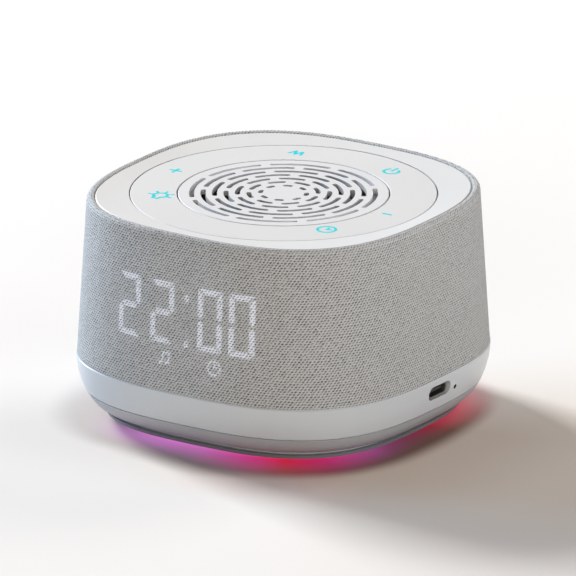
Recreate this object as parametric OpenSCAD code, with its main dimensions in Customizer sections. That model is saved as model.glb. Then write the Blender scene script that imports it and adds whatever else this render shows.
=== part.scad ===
// White noise sound machine: a fabric-covered rounded-square drum on a plastic base.
// Millimetres. Origin on the floor under the centre, +Z up.
// The clock faces -Y and the USB-C inlet faces +X.

/* [Outline] */
// Width across the flats at the fabric's lower edge and the base band
base_width = 102.2; // [98:0.2:108]
// Width across the flats of the fabric where it turns over the top
top_width = 97.8; // [95:0.2:99]
// Height of the fabric's rolled rim, the highest line
rim_z = 62.2; // [61.9:0.1:66]
// How far the key ring's and the grille's face lies below the rim
face_drop = 1; // [0.7:0.1:1.4]
// Squareness of the plan at the top (2 is a circle)
top_power = 2.75; // [2.6:0.05:3]
// Squareness of the plan at the bottom
base_power = 2.9; // [2.7:0.05:3.1]
// Facets round each rounded-square outline
outline_steps = 64; // [48:8:96]

/* [Base] */
// Height of the band's top edge, where the fabric begins
band_top_z = 18; // [17.4:0.1:19]
// Height of the seam between the band and the pan
seam_z = 8.6; // [8.2:0.1:9]
// Clear height under the pan's lip
lip_z = 1.5; // [1:0.1:2]
// Height of the lip itself
lip_h = 0.9; // [0.7:0.1:1.1]
// Height of the shadow groove over the lip
groove_h = 1; // [0.6:0.1:1.2]
// Depth of the shadow groove
groove_depth = 1.3; // [0.8:0.1:1.5]
// Width across the flats of the lip
lip_width = 87.6; // [86.8:0.2:88.4]
// Roundness of the curve from the lip up to the band
base_curve = 1.8; // [1.4:0.1:2.2]

/* [Walls and fits] */
// Wall of the base mouldings
base_wall = 2.2; // [1.8:0.1:2.4]
// Wall of the inner shell
shell_wall = 2; // [1.6:0.1:2.2]
// Thickness of the fabric
fabric_t = 1; // [0.7:0.1:1.2]
// Width of the shadow lines round the key ring
ring_gap = 0.3; // [0.2:0.05:0.4]
// Clearance between pieces that seat on each other
seat_gap = 0.05; // [0.02:0.01:0.1]
// Clearance round a screw, a peg or a spigot
slip_gap = 0.15; // [0.1:0.05:0.2]

/* [Keys] */
// Narrowest width of the top plate outside the key ring
plate_w = 5.25; // [5:0.05:5.6]
// Width of the key ring and the shadow line inside it
key_band = 12.95; // [12.4:0.05:13.4]
// Thickness of the key ring
ring_t = 1.8; // [1.4:0.1:2]
// How far a key goes down
key_travel = 0.25; // [0.15:0.05:0.3]
// Distance from the key ring's outer edge in to the circle of switches
switch_inset = 1.75; // [1.6:0.05:1.9]
// Angles of the six keys, from +X
key_angles = [0, 66, 117, 180, 217.5, 323.5];
// Land between the key ring's inner edge and the clear guides under its marks
mark_land = 2.4; // [2:0.1:3]
// Side of each tact switch
switch_side = 3.4; // [3:0.1:3.6]
// Height of each tact switch's case
switch_h = 2; // [1.5:0.1:2.2]
// Diameter of each switch plunger
plunger_d = 1.8; // [1.2:0.1:2]

/* [Grille] */
// Thickness of the grille disc
grille_t = 1.5; // [1.2:0.1:1.6]
// Number of rings of slots
slot_rings = 7; // [5:1:7]
// Slots in each ring
slots_per_ring = 8; // [6:1:8]
// Radius of the innermost ring of slots
first_slot_r = 6.3; // [6.2:0.1:6.6]
// Land outside the last ring of slots
slot_land = 3; // [2.8:0.1:3.6]
// Width of each slot
slot_w = 1.4; // [1.1:0.1:1.5]
// Bridge between the ends of two slots
slot_bridge = 2.2; // [1.9:0.1:3]

/* [Loudspeaker] */
// Width of the basket's flange, where the surround is glued
flange_w = 3.2; // [2.8:0.1:3.4]
// Width of the surround's roll
surround_w = 3.8; // [3.4:0.1:4.2]
// Radius of the coil former
coil_r = 6.8; // [6.6:0.1:7]
// How far the magnet stands inside the cone's rim
magnet_inset = 2.1; // [1.8:0.1:3]
// Height of the magnet
magnet_h = 7; // [6:0.1:7.4]
// Travel of the cone each way
cone_travel = 1; // [0.5:0.1:1.2]

/* [Display] */
// Height of the digits
digit_h = 17.3; // [16.6:0.1:18]
// Width of a digit
digit_w = 7.9; // [7.4:0.1:8.4]
// Width of a lit segment
segment_w = 1.6; // [1.3:0.1:1.8]
// Centres of the four digits along X
digit_x = [-17.3, -6.15, 9.15, 18.8];
// Width of the display window
window_w = 51; // [50:0.5:53]
// Bottom and top of the display window, measured along the wall from the digits' middle
window_span = [-16.3, 10.7];

/* [Electronics] */
// Height of the main board's top face
board_top_z = 12.5; // [12.4:0.1:12.6]
// Thickness of the main board
board_t = 1.6; // [1.2:0.1:1.6]
// Width of the USB-C cut-out
usb_cut_w = 10.6; // [10:0.1:11.5]
// Height of the USB-C cut-out
usb_cut_h = 3.9; // [3.6:0.1:4.2]
// Place of the reset pinhole along Y
reset_y = 7.9; // [7.7:0.1:8.6]
// Diameter of the reset pinhole
pinhole_d = 1.2; // [0.9:0.1:1.4]
// Travel of the reset plunger
reset_travel = 0.25; // [0.15:0.05:0.4]
// Diameter of the battery cell
cell_d = 18.4; // [18:0.1:18.6]
// Length of the battery cell
cell_l = 65; // [60:0.5:66]

/* [Fasteners] */
// Distance from the foot plate's corner in to each housing screw, along X and along Y
screw_inset = 5.2; // [5:0.1:5.6]
// Diameter of the housing screws' shanks
screw_d = 2.8; // [2.5:0.1:3]
// Diameter of the small screws' shanks
small_screw_d = 2; // [1.8:0.1:2]
// Diameter of the rubber feet
foot_d = 11; // [9:0.5:12]

/* [Hidden] */
$fn = 64;
// Overlap that makes a cut or a joint of two solids clean
bite = 0.2;

// ---- Rounded-square outline and the walls that follow it ----
base_half = base_width / 2;
top_half = top_width / 2;
lip_half = lip_width / 2;
curve_z = lip_z + lip_h + groove_h;
// Height at which the fabric begins to turn over the top
turn_z = rim_z - 2;
// The fabric's lower edge stands back from the band by this much
fabric_setback = 0.2;

function plan_power(z) = top_power + (base_power - top_power) * (rim_z - z) / rim_z;
function signed_power(v, p) = sign(v) * pow(abs(v), p);
function outline(half, power) = [
    for (i = [0:outline_steps - 1])
        let (t = 360 * i / outline_steps)
            half * [signed_power(cos(t), 2 / power), signed_power(sin(t), 2 / power)]
];
// How far the corner of the outline lies from the centre lines, along X and along Y
function corner_xy(half, power) = half * pow(0.5, 1 / power);
// Half widths of the outside of the fabric, the inner shell and the base at height z
function fabric_half(z) =
    let (low = base_half - fabric_setback)
        low + (top_half - low) * (z - band_top_z) / (turn_z - band_top_z);
function shell_half(z) = fabric_half(z) - fabric_t - seat_gap;
function base_rise(z) = max(0, min(1, (z - curve_z) / (band_top_z - curve_z)));
function base_outer(z) =
    lip_half + (base_half - lip_half) * pow(1 - pow(1 - base_rise(z), base_curve), 1 / base_curve);
function on_plan(half, z) = [half, z, plan_power(z)];
// A point on the outside of the base at a share of the way up its curve
function base_point(share) =
    let (z = curve_z + share * (seam_z - curve_z)) on_plan(base_outer(z), z);

// A wall whose closed section, a list of [half width, height, squareness], goes up the outside
// and down the inside, carried round the rounded-square outline
module outline_wall(section) {
    count = len(section);
    steps = outline_steps;
    points = [
        for (s = section)
            for (p = outline(s[0], s[2])) [p[0], p[1], s[1]]
    ];
    faces = [
        for (k = [0:count - 1])
            for (i = [0:steps - 1])
                let (
                    here = k * steps,
                    next = ((k + 1) % count) * steps,
                    j = (i + 1) % steps
                )
                    each [[here + i, next + i, next + j], [here + i, next + j, here + j]]
    ];
    polyhedron(points, faces, convexity = 6);
}

// A flat plate with the rounded-square outline
module outline_plate(half, z0, z1) {
    translate([0, 0, z0])
        linear_extrude(z1 - z0)
            polygon(outline(half, plan_power((z0 + z1) / 2)));
}

module at_corners(x, y) {
    for (sx = [-1, 1])
        for (sy = [-1, 1])
            translate([sx * x, sy * y, 0])
                children();
}

module at_keys(r) {
    for (a = key_angles)
        rotate(a)
            translate([r, 0, 0])
                children();
}

module washer(r_out, r_in, z0, z1) {
    rotate_extrude($fn = 96)
        translate([r_in, z0])
            square([r_out - r_in, z1 - z0]);
}

module post(d, z0, z1) {
    translate([0, 0, z0])
        cylinder(d = d, h = z1 - z0);
}

module box(x0, x1, y0, y1, z0, z1) {
    translate([x0, y0, z0])
        cube([x1 - x0, y1 - y0, z1 - z0]);
}

small_head_d = 3.6;
small_head_h = 1.2;

// A pan-head screw pointing up from the underside of its head
module screw(d, head_d, head_h, z_head, z_tip) {
    difference() {
        union() {
            post(head_d, z_head - head_h, z_head);
            post(d, z_head - bite, z_tip);
        }
        for (a = [0, 90])
            rotate(a)
                translate([-head_d * 0.3, -head_d * 0.06, z_head - head_h - bite])
                    cube([head_d * 0.6, head_d * 0.12, head_h * 0.5 + bite]);
    }
}

function unit(v) = v / norm(v);
// Cuts the corners of a route, keeping its two ends
function eased(points) = concat(
    [points[0]],
    [
        for (i = [0:len(points) - 2])
            each [
                points[i] * 0.75 + points[i + 1] * 0.25,
                points[i] * 0.25 + points[i + 1] * 0.75
            ]
    ],
    [points[len(points) - 1]]
);

// A lead of round section along an eased route; "beside" is never parallel to the route
module lead(points, d, beside = [0, 1, 0]) {
    sides = 8;
    route = eased(eased(points));
    count = len(route);
    function along(i) = unit(route[min(i + 1, count - 1)] - route[max(i - 1, 0)]);
    rings = [
        for (i = [0:count - 1])
            let (side = unit(cross(along(i), beside)), up = cross(along(i), side))
                for (j = [0:sides - 1])
                    route[i] + d / 2 * (cos(360 * j / sides) * side + sin(360 * j / sides) * up)
    ];
    walls = [
        for (i = [0:count - 2])
            for (j = [0:sides - 1])
                let (a = i * sides, b = a + sides, k = (j + 1) % sides)
                    each [[a + j, b + j, b + k], [a + j, b + k, a + k]]
    ];
    last = (count - 1) * sides;
    polyhedron(
        rings,
        concat(walls, [[for (j = [0:sides - 1]) j]], [[for (j = [sides - 1:-1:0]) last + j]]),
        convexity = 6
    );
}

// ---- Heights through the stack ----
face_z = rim_z - face_drop;
deck_z = face_z - 7.8;
deck_t = 2;
deck_low = deck_z - deck_t;
// Middle of the digits
digit_z = deck_low - 0.7 - window_span[1];
key_board_t = 1.6;
board_z = deck_z + key_board_t;
ring_low = face_z - ring_t;
grille_low = face_z - grille_t;
plate_low = ring_low + 0.5;
flange_top = plate_low - seat_gap;
flange_low = flange_top - 0.9;
guide_low = board_z + 1.2;
plunger_top = board_z + switch_h + 0.8;
key_led_h = 0.65;
switch_floor_z = board_z + 0.8;

// ---- Rings from the rim inwards ----
rim_half = top_half - 2.1;
ring_r = rim_half - plate_w;
ring_flange_r = ring_r + 1.45;
grille_r = ring_r - key_band;
grille_skirt_t = 1.2;
collar_r = grille_r - grille_skirt_t - slip_gap;
switch_circle_r = ring_r - switch_inset;
guide_outer_r = switch_circle_r - switch_side / 2 - 0.4;
guide_d = guide_outer_r - grille_r - ring_gap - mark_land;
mark_circle_r = guide_outer_r - guide_d / 2;
slot_pitch = (grille_r - slot_land - slot_w / 2 - first_slot_r) / (slot_rings - 1);
deck_screw_xy = (ring_flange_r + 4.5) / sqrt(2);
pan_mouth = lip_half - 2.6;
plate_half = pan_mouth - 4.1;
housing_screw_xy = corner_xy(plate_half, base_power) - screw_inset;

// ---- Fabric and shells ----
module fabric_sleeve() {
    color("#a8a5a0")
        outline_wall([
            on_plan(fabric_half(band_top_z + seat_gap), band_top_z + seat_gap),
            on_plan(top_half, turn_z),
            on_plan(top_half - 0.2, turn_z + 1),
            on_plan(top_half - 0.6, rim_z - 0.35),
            on_plan(top_half - 1.2, rim_z),
            on_plan(rim_half + ring_gap, rim_z - 0.3),
            on_plan(rim_half + ring_gap, turn_z + 0.8),
            on_plan(top_half - fabric_t - 0.1, turn_z + 0.8),
            on_plan(top_half - fabric_t, turn_z),
            on_plan(fabric_half(band_top_z) - fabric_t, band_top_z + seat_gap)
        ]);
}

// Bosses behind the display window that its reflector is screwed to
display_screw_x = window_w / 2 + 2.3;
display_screw_z = [-9, 5];
lug_past_hole = 2;
lug_t = 1.6;
// How far a curved wall of that half width stands behind its middle, at a distance x from it
function wall_fall(half, x) =
    let (power = plan_power(digit_z))
        half * (1 - pow(1 - pow(x / half, power), 1 / power));
lug_front = shell_wall + 0.2
    + wall_fall(shell_half(digit_z) - shell_wall, display_screw_x + lug_past_hole);
reflector_back = lug_front + lug_t;
display_screw_l = 3.1;
wall_tilt = atan((shell_half(band_top_z) - shell_half(turn_z)) / (turn_z - band_top_z));

// Moves to the display's own frame: y = 0 on the outside of the shell, z along the wall
module on_front_wall() {
    translate([0, -shell_half(digit_z), digit_z])
        rotate([-wall_tilt, 0, 0])
            children();
}

module inner_shell() {
    boss_d = 4.4;
    boss_root = wall_fall(shell_half(digit_z), display_screw_x + boss_d / 2) + 0.3;
    spigot_half = base_half - base_wall - slip_gap - 0.5;
    spigot_low = band_top_z - 2;
    color("#3c3d40")
        difference() {
            union() {
                outline_wall([
                    on_plan(shell_half(band_top_z + seat_gap), band_top_z + seat_gap),
                    on_plan(shell_half(turn_z), turn_z),
                    on_plan(shell_half(turn_z) - 0.1, turn_z + 0.7),
                    on_plan(rim_half + slip_gap, turn_z + 0.7),
                    on_plan(rim_half + slip_gap, deck_z),
                    on_plan(shell_half(deck_low) - shell_wall, deck_low),
                    on_plan(shell_half(band_top_z) - shell_wall, band_top_z + 3.5),
                    on_plan(spigot_half - 1.5, band_top_z + 1.5),
                    on_plan(spigot_half - 1.5, spigot_low),
                    on_plan(spigot_half, spigot_low),
                    on_plan(spigot_half, band_top_z + seat_gap)
                ]);
                outline_plate(rim_half + slip_gap + 0.15, deck_low, deck_z);
                washer(collar_r, collar_r - 2, deck_low, plate_low - 3.6);
                at_corners(housing_screw_xy, housing_screw_xy) {
                    post(7, pan_floor_z + seat_gap, deck_low + bite);
                    for (a = [0, 90])
                        rotate(a)
                            translate([-5.5, -0.6, deck_low - 12])
                                cube([11, 1.2, 12 + bite]);
                }
                on_front_wall()
                    for (sx = [-1, 1])
                        for (z = display_screw_z)
                            translate([sx * display_screw_x, lug_front - seat_gap, z])
                                rotate([90, 0, 0])
                                    cylinder(d = boss_d, h = lug_front - seat_gap - boss_root);
            }
            post(2 * (collar_r - 2), deck_low - bite, deck_z + bite);
            at_corners(housing_screw_xy, housing_screw_xy)
                post(screw_d + 2 * slip_gap, pan_floor_z - bite, pan_floor_z + 12);
            at_corners(deck_screw_xy, deck_screw_xy)
                post(small_screw_d + 2 * slip_gap, deck_low - bite, deck_z + bite);
            for (a = key_screw_angles)
                rotate(a)
                    translate([key_screw_r, 0, 0])
                        post(small_screw_d + 2 * slip_gap, deck_low - bite, deck_z + bite);
            on_front_wall() {
                translate([-window_w / 2, -4, window_span[0]])
                    cube([window_w, 4 + reflector_back, window_span[1] - window_span[0]]);
                for (sx = [-1, 1])
                    for (z = display_screw_z)
                        translate([sx * display_screw_x, reflector_back, z])
                            rotate([90, 0, 0])
                                cylinder(
                                    d = small_screw_d + 2 * slip_gap,
                                    h = display_screw_l + 0.2
                                );
            }
            translate([key_ribbon_x - 0.5, -key_ribbon_w / 2 - 0.5, deck_low - bite])
                cube([ribbon_t + 1, key_ribbon_w + 1, deck_t + 2 * bite]);
            for (a = snap_angles)
                rotate(a)
                    washer_arc(
                        grille_r + slip_gap, collar_r - 0.8,
                        deck_low - bite, plate_low, snap_sweep + 2
                    );
        }
}

// The plate's edge lies a little below the fabric's rim
plate_edge_z = rim_z - 0.4;

module top_plate() {
    skirt_t = 1.5;
    skirt_half = rim_half - skirt_t;
    boss_d = 5.4;
    color("#e6e4e1")
        difference() {
            union() {
                outline_wall([
                    [ring_r - 0.2, face_z, 2],
                    [ring_r - 0.2, plate_low, 2],
                    [ring_flange_r + ring_gap, plate_low, 2],
                    on_plan(skirt_half, plate_low + 0.2),
                    on_plan(skirt_half, deck_z + seat_gap),
                    on_plan(rim_half, deck_z + seat_gap),
                    on_plan(rim_half, plate_edge_z - 0.3),
                    on_plan(rim_half - 0.35, plate_edge_z),
                    on_plan(rim_half - 1, plate_edge_z - 0.05)
                ]);
                at_corners(deck_screw_xy, deck_screw_xy)
                    post(boss_d, deck_z + seat_gap, plate_low + 0.6);
            }
            translate([0, 0, plate_low - bite])
                cylinder(r = ring_r + ring_gap, h = 4, $fn = 128);
            at_corners(deck_screw_xy, deck_screw_xy)
                post(small_screw_d + 2 * slip_gap, deck_z - bite, plate_low - 1);
        }
}

// ---- Grille ----
snap_sweep = 14;
snap_angles = [90, 210, 330];

module washer_arc(r_out, r_in, z0, z1, sweep) {
    rotate(-sweep / 2)
        rotate_extrude(angle = sweep, $fn = 96)
            translate([r_in, z0])
                square([r_out - r_in, z1 - z0]);
}

// One curved slot with round ends, centred on +X
module slot(r) {
    sweep = 360 / slots_per_ring - (slot_bridge + slot_w) / r * 180 / PI;
    washer_arc(r + slot_w / 2, r - slot_w / 2, grille_low - bite, face_z + bite, sweep);
    for (side = [-1, 1])
        rotate(side * sweep / 2)
            translate([r, 0, grille_low - bite])
                cylinder(d = slot_w * 0.96, h = grille_t + 2 * bite, $fn = 24);
}

// A slotted disc with a skirt; three legs of the skirt go on through the deck and hook under it
module grille() {
    hook = 0.7;
    leg_low = deck_low - 1.6;
    color("#e9e7e4")
        difference() {
            rotate_extrude($fn = 128)
                polygon([
                    [0, grille_low],
                    [grille_r - grille_skirt_t, grille_low],
                    [grille_r - grille_skirt_t, leg_low],
                    [grille_r - 0.2, leg_low],
                    [grille_r + hook, leg_low + 0.9],
                    [grille_r + hook, deck_low - seat_gap],
                    [grille_r, deck_low - seat_gap],
                    [grille_r, face_z - 0.2],
                    [grille_r - 0.2, face_z],
                    [0, face_z]
                ]);
            for (a = snap_angles)
                rotate(a + 60)
                    washer_arc(
                        grille_r + 2, grille_r - grille_skirt_t - 1,
                        leg_low - 1, deck_z + seat_gap, 120 - snap_sweep
                    );
            for (k = [0:slot_rings - 1])
                for (i = [0:slots_per_ring - 1])
                    rotate((i + (slot_rings - k) % 2 * 0.5) * 360 / slots_per_ring)
                        slot(first_slot_r + k * slot_pitch);
        }
}

// ---- Key ring and what it works ----
guide_seat = 0.6;

module key_ring() {
    color("#e4e3e1")
        difference() {
            union() {
                rotate_extrude($fn = 128)
                    polygon([
                        [grille_r + ring_gap, ring_low],
                        [ring_r - 1, ring_low],
                        [ring_r - 1, flange_low],
                        [ring_flange_r, flange_low],
                        [ring_flange_r, flange_top],
                        [ring_r, flange_top],
                        [ring_r, face_z - 0.15],
                        [ring_r - 0.15, face_z],
                        [grille_r + ring_gap + 0.15, face_z],
                        [grille_r + ring_gap, face_z - 0.15]
                    ]);
                at_keys(switch_circle_r)
                    post(2.2, plunger_top + seat_gap, ring_low + bite);
            }
            at_keys(mark_circle_r)
                post(guide_d + 2 * slip_gap, ring_low - bite, ring_low + guide_seat);
        }
}

module icon_guides() {
    color("#d9f6f8")
        at_keys(mark_circle_r)
            difference() {
                post(guide_d, guide_low, ring_low + guide_seat - seat_gap);
                translate([0, 0, guide_low - bite])
                    cylinder(d1 = guide_d - 1.2, d2 = guide_d * 0.4, h = 1.8);
            }
}

key_board_r = ring_r + 0.45;
key_screw_r = ring_r - 5.55;
key_screw_angles = [33, 148, 248, 292];

module key_board() {
    color("#1d5c3a")
        difference() {
            washer(key_board_r, grille_r + 0.6, deck_z, board_z);
            for (a = key_screw_angles)
                rotate(a)
                    translate([key_screw_r, 0, 0])
                        post(small_screw_d + 2 * slip_gap, deck_z - bite, board_z + bite);
            translate([key_ribbon_x - 0.5, -key_ribbon_w / 2 - 0.5, deck_z - bite])
                cube([ribbon_t + 1, key_ribbon_w + 1, key_board_t + 2 * bite]);
        }
}

module tact_switches() {
    color("#26272a")
        at_keys(switch_circle_r)
            difference() {
                translate([-switch_side / 2, -switch_side / 2, board_z])
                    cube([switch_side, switch_side, switch_h]);
                post(plunger_d + 2 * slip_gap, switch_floor_z, board_z + switch_h + bite);
            }
}

module switch_plungers() {
    color("#8c2f2f")
        at_keys(switch_circle_r)
            post(plunger_d, switch_floor_z + key_travel + 0.1, plunger_top);
}

module key_leds() {
    color("#f4f2d8")
        at_keys(mark_circle_r)
            box(-0.8, 0.8, -0.4, 0.4, board_z, board_z + key_led_h);
}

module key_board_screws() {
    color("#9a9ca0")
        for (a = key_screw_angles)
            rotate(a)
                translate([key_screw_r, 0, board_z])
                    mirror([0, 0, 1])
                        screw(small_screw_d, small_head_d, small_head_h, 0, 4.2);
}

module deck_screws() {
    color("#9a9ca0")
        at_corners(deck_screw_xy, deck_screw_xy)
            screw(small_screw_d, small_head_d, small_head_h, deck_low, plate_low - 1.5);
}

// ---- Base ----
pan_floor_z = 7.6;
pan_floor_t = 1.6;
pan_under = pan_floor_z - pan_floor_t;
light_ledge_z = lip_z + 1.1;

module base_ring() {
    cut_x = base_half - 6;
    cut_l = 8;
    color("#b9bbbd")
        difference() {
            outline_wall([
                on_plan(base_outer(seam_z) - 0.2, seam_z),
                on_plan(base_outer(seam_z + 0.2), seam_z + 0.2),
                on_plan(base_outer(seam_z + 2.4), seam_z + 2.4),
                on_plan(base_outer(seam_z + 5), seam_z + 5),
                on_plan(base_half, band_top_z - 0.4),
                on_plan(base_half - 0.3, band_top_z),
                on_plan(base_half - base_wall, band_top_z),
                on_plan(base_outer(seam_z) - base_wall, seam_z)
            ]);
            hull()
                for (side = [-1, 1])
                    translate([cut_x, side * (usb_cut_w - usb_cut_h) / 2, usb_centre_z])
                        rotate([0, 90, 0])
                            cylinder(d = usb_cut_h, h = cut_l, $fn = 32);
            translate([cut_x, reset_y, reset_z])
                rotate([0, 90, 0])
                    cylinder(d = pinhole_d, h = cut_l, $fn = 32);
        }
}

module base_pan() {
    seam_gap = 0.12;
    spigot_half = base_outer(seam_z) - base_wall - slip_gap;
    spigot_t = 1.3;
    color("#adb0b3")
        difference() {
            union() {
                outline_wall([
                    on_plan(lip_half - 0.2, lip_z),
                    on_plan(lip_half, lip_z + lip_h),
                    on_plan(lip_half - groove_depth, lip_z + lip_h),
                    on_plan(lip_half - groove_depth, curve_z),
                    on_plan(lip_half + 0.1, curve_z),
                    base_point(0.12),
                    base_point(0.35),
                    base_point(0.66),
                    on_plan(base_outer(seam_z - seam_gap), seam_z - seam_gap),
                    on_plan(spigot_half, seam_z - seam_gap),
                    on_plan(spigot_half, seam_z + 1.8),
                    on_plan(spigot_half - spigot_t, seam_z + 1.8),
                    on_plan(spigot_half - spigot_t, pan_floor_z),
                    on_plan(pan_mouth - 0.5, pan_floor_z),
                    on_plan(pan_mouth - 0.5, pan_under),
                    on_plan(pan_mouth + 2, pan_under),
                    on_plan(pan_mouth, light_ledge_z + 1.1),
                    on_plan(pan_mouth, light_ledge_z),
                    on_plan(pan_mouth - 1, light_ledge_z),
                    on_plan(pan_mouth - 1, lip_z)
                ]);
                outline_plate(pan_mouth, pan_under, pan_floor_z);
                for (p = board_screw_places)
                    translate(p)
                        post(5, pan_floor_z - bite, board_low - seat_gap);
                for (side = [-1, 1])
                    translate([cell_x + side * (cell_d / 2 + 1.1) - 0.6, -cell_l / 2 + 4, pan_floor_z - bite])
                        cube([1.2, cell_l - 8, cell_d * 0.42]);
            }
            at_corners(housing_screw_xy, housing_screw_xy)
                post(screw_d + 2 * slip_gap, pan_under - bite, pan_floor_z + bite);
            for (p = board_screw_places)
                translate(p)
                    post(small_screw_d + 2 * slip_gap, pan_floor_z - 1, board_top_z);
            translate([light_ribbon_x - 0.5, light_ribbon_y - light_ribbon_w / 2 - 0.5, pan_under - bite])
                cube([ribbon_t + 1, light_ribbon_w + 1, pan_floor_t + 2 * bite]);
        }
}

foot_recess = 0.6;

module foot_plate() {
    color("#8f9194")
        difference() {
            union() {
                outline_plate(plate_half, lip_z, light_ledge_z - seat_gap);
                outline_plate(plate_half - 1.1, lip_z + 0.5, lip_z + 1.7);
                at_corners(housing_screw_xy, housing_screw_xy)
                    post(9, lip_z + 1, pan_under - seat_gap);
                for (a = [0, 90])
                    rotate(a)
                        translate([-housing_screw_xy, -0.6, lip_z + 1])
                            cube([2 * housing_screw_xy, 1.2, 2]);
            }
            at_corners(housing_screw_xy, housing_screw_xy) {
                post(foot_d + 2 * slip_gap, lip_z - bite, lip_z + foot_recess);
                post(6.2, lip_z, lip_z + 2.4);
                post(screw_d + 2 * slip_gap, lip_z, pan_under + bite);
            }
        }
}

module light_ring() {
    color("#f0eef4")
        difference() {
            union() {
                outline_plate(pan_mouth - 1 - slip_gap, lip_z, light_ledge_z + bite);
                outline_plate(pan_mouth - slip_gap, light_ledge_z + seat_gap, light_ledge_z + 1);
            }
            outline_plate(plate_half + slip_gap, lip_z - bite, light_ledge_z);
            outline_plate(plate_half - 0.9, lip_z, light_ledge_z + 1 + bite);
        }
}

light_board_z = pan_under - seat_gap;

module light_board() {
    color("#e8e8e4")
        difference() {
            outline_plate(pan_mouth - 0.4, light_board_z - 1, light_board_z);
            outline_plate(plate_half - 0.6, light_board_z - 1 - bite, light_board_z + bite);
        }
}

module light_leds() {
    led_side = 2.8;
    led_h = 1;
    spots = 16;
    color("#fbfbf2")
        for (i = [0:spots - 1]) {
            t = 360 * (i + 0.5) / spots;
            half = pan_mouth - 2.6;
            x = half * signed_power(cos(t), 2 / base_power);
            y = half * signed_power(sin(t), 2 / base_power);
            translate([x, y, light_board_z - 1 - led_h])
                rotate(t)
                    translate([-led_side / 2, -led_side / 2, 0])
                        cube([led_side, led_side, led_h]);
        }
}

module rubber_feet() {
    color("#55575a")
        at_corners(housing_screw_xy, housing_screw_xy)
            rotate_extrude($fn = 48)
                polygon([
                    [0, 0],
                    [foot_d / 2 - 0.6, 0],
                    [foot_d / 2, 0.6],
                    [foot_d / 2, lip_z + foot_recess - seat_gap],
                    [0, lip_z + foot_recess - seat_gap]
                ]);
}

module housing_screws() {
    color("#8b8d91")
        at_corners(housing_screw_xy, housing_screw_xy)
            screw(screw_d, 5.6, 1.7, lip_z + 2.4, pan_floor_z + 11);
}

// ---- Loudspeaker ----
flange_r = collar_r - 0.65;
flange_hole_r = flange_r - flange_w;
cone_r = flange_hole_r - surround_w;
magnet_r = cone_r - magnet_inset;
collar_top = plate_low - 3.6;
basket_top = collar_top + seat_gap + 1;
spider_z = collar_top - 9.9;
gap_top = spider_z - 3.4;
front_plate_t = 3;
front_plate_low = gap_top - front_plate_t;
magnet_low = front_plate_low - magnet_h;
yoke_t = 3;
pole_r = coil_r - 0.4;
former_t = 0.2;
winding_t = 0.4;
cone_neck_z = spider_z + 3.6;
cone_rim_z = basket_top - 0.6;

module speaker_basket() {
    sheet = 0.8;
    floor_z = gap_top + seat_gap;
    floor_r = cone_r - 4.1;
    color("#2f3032")
        difference() {
            rotate_extrude($fn = 96)
                polygon([
                    [coil_r + 1.6, floor_z],
                    [floor_r, floor_z],
                    [cone_r - 1.2, spider_z - 0.5],
                    [cone_r + sheet, spider_z - 0.5],
                    [flange_hole_r + 0.6, basket_top - 1.4],
                    [collar_r - 2.4, basket_top - 1],
                    [flange_r, basket_top - 1],
                    [flange_r, basket_top],
                    [flange_hole_r, basket_top],
                    [cone_r, spider_z + 0.3],
                    [cone_r - 3, spider_z + 0.3],
                    [floor_r - 0.6, floor_z + sheet],
                    [coil_r + 1.6, floor_z + sheet]
                ]);
            for (a = [45, 135, 225, 315])
                rotate(a)
                    translate([0, -7, spider_z + 1.2])
                        cube([30, 14, basket_top - spider_z - 4]);
        }
}

module speaker_yoke() {
    color("#b4b6ba")
        rotate_extrude($fn = 96)
            polygon([
                [2, magnet_low - yoke_t],
                [magnet_r - 1.5, magnet_low - yoke_t],
                [magnet_r - 1, magnet_low - yoke_t + 0.6],
                [magnet_r - 1, magnet_low],
                [pole_r, magnet_low],
                [pole_r, gap_top - 0.3],
                [pole_r - 0.3, gap_top],
                [2, gap_top]
            ]);
}

module speaker_magnet() {
    color("#3a3b3e")
        rotate_extrude($fn = 96)
            polygon([
                [coil_r + 3, magnet_low],
                [magnet_r - 0.6, magnet_low],
                [magnet_r, magnet_low + 0.6],
                [magnet_r, front_plate_low - 0.6],
                [magnet_r - 0.6, front_plate_low],
                [coil_r + 3, front_plate_low]
            ]);
}

module speaker_front_plate() {
    color("#a9abb0")
        washer(magnet_r - 1, coil_r + former_t + winding_t + 0.4, front_plate_low, gap_top);
}

module coil_former() {
    color("#c98b4a")
        washer(coil_r + former_t, coil_r, front_plate_low - 2, cone_neck_z);
}

module voice_coil() {
    color("#b5612f")
        washer(
            coil_r + former_t + winding_t, coil_r + former_t,
            front_plate_low - cone_travel - 0.2, gap_top + cone_travel + 0.2
        );
}

module spider() {
    half_t = 0.15;
    r0 = coil_r + former_t + seat_gap;
    r1 = cone_r - 0.3;
    steps = 28;
    waves = 4;
    function height(r) = spider_z + 0.75 + 0.35 * sin(360 * waves * (r - r0) / (r1 - 2.4 - r0));
    function place(i) = r0 + (r1 - 2.4 - r0) * i / steps;
    color("#c8a03c")
        rotate_extrude($fn = 64)
            polygon(concat(
                [for (i = [0:steps]) [place(i), height(place(i)) - half_t]],
                [[r1, spider_z + 0.35], [r1, spider_z + 0.75]],
                [for (i = [steps:-1:0]) [place(i), height(place(i)) + half_t]]
            ));
}

module speaker_cone() {
    paper = 0.35;
    color("#232427")
        rotate_extrude($fn = 96)
            polygon([
                [coil_r + former_t + seat_gap, cone_neck_z - 1.2],
                [coil_r + former_t + 1, cone_neck_z - 0.4],
                [13, cone_neck_z + 2.4],
                [cone_r, cone_rim_z],
                [cone_r, cone_rim_z + paper],
                [12.6, cone_neck_z + 2.4 + paper + 0.15],
                [coil_r + former_t + 0.6, cone_neck_z + 0.3],
                [coil_r + former_t + seat_gap, cone_neck_z - 0.4]
            ]);
}

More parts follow.
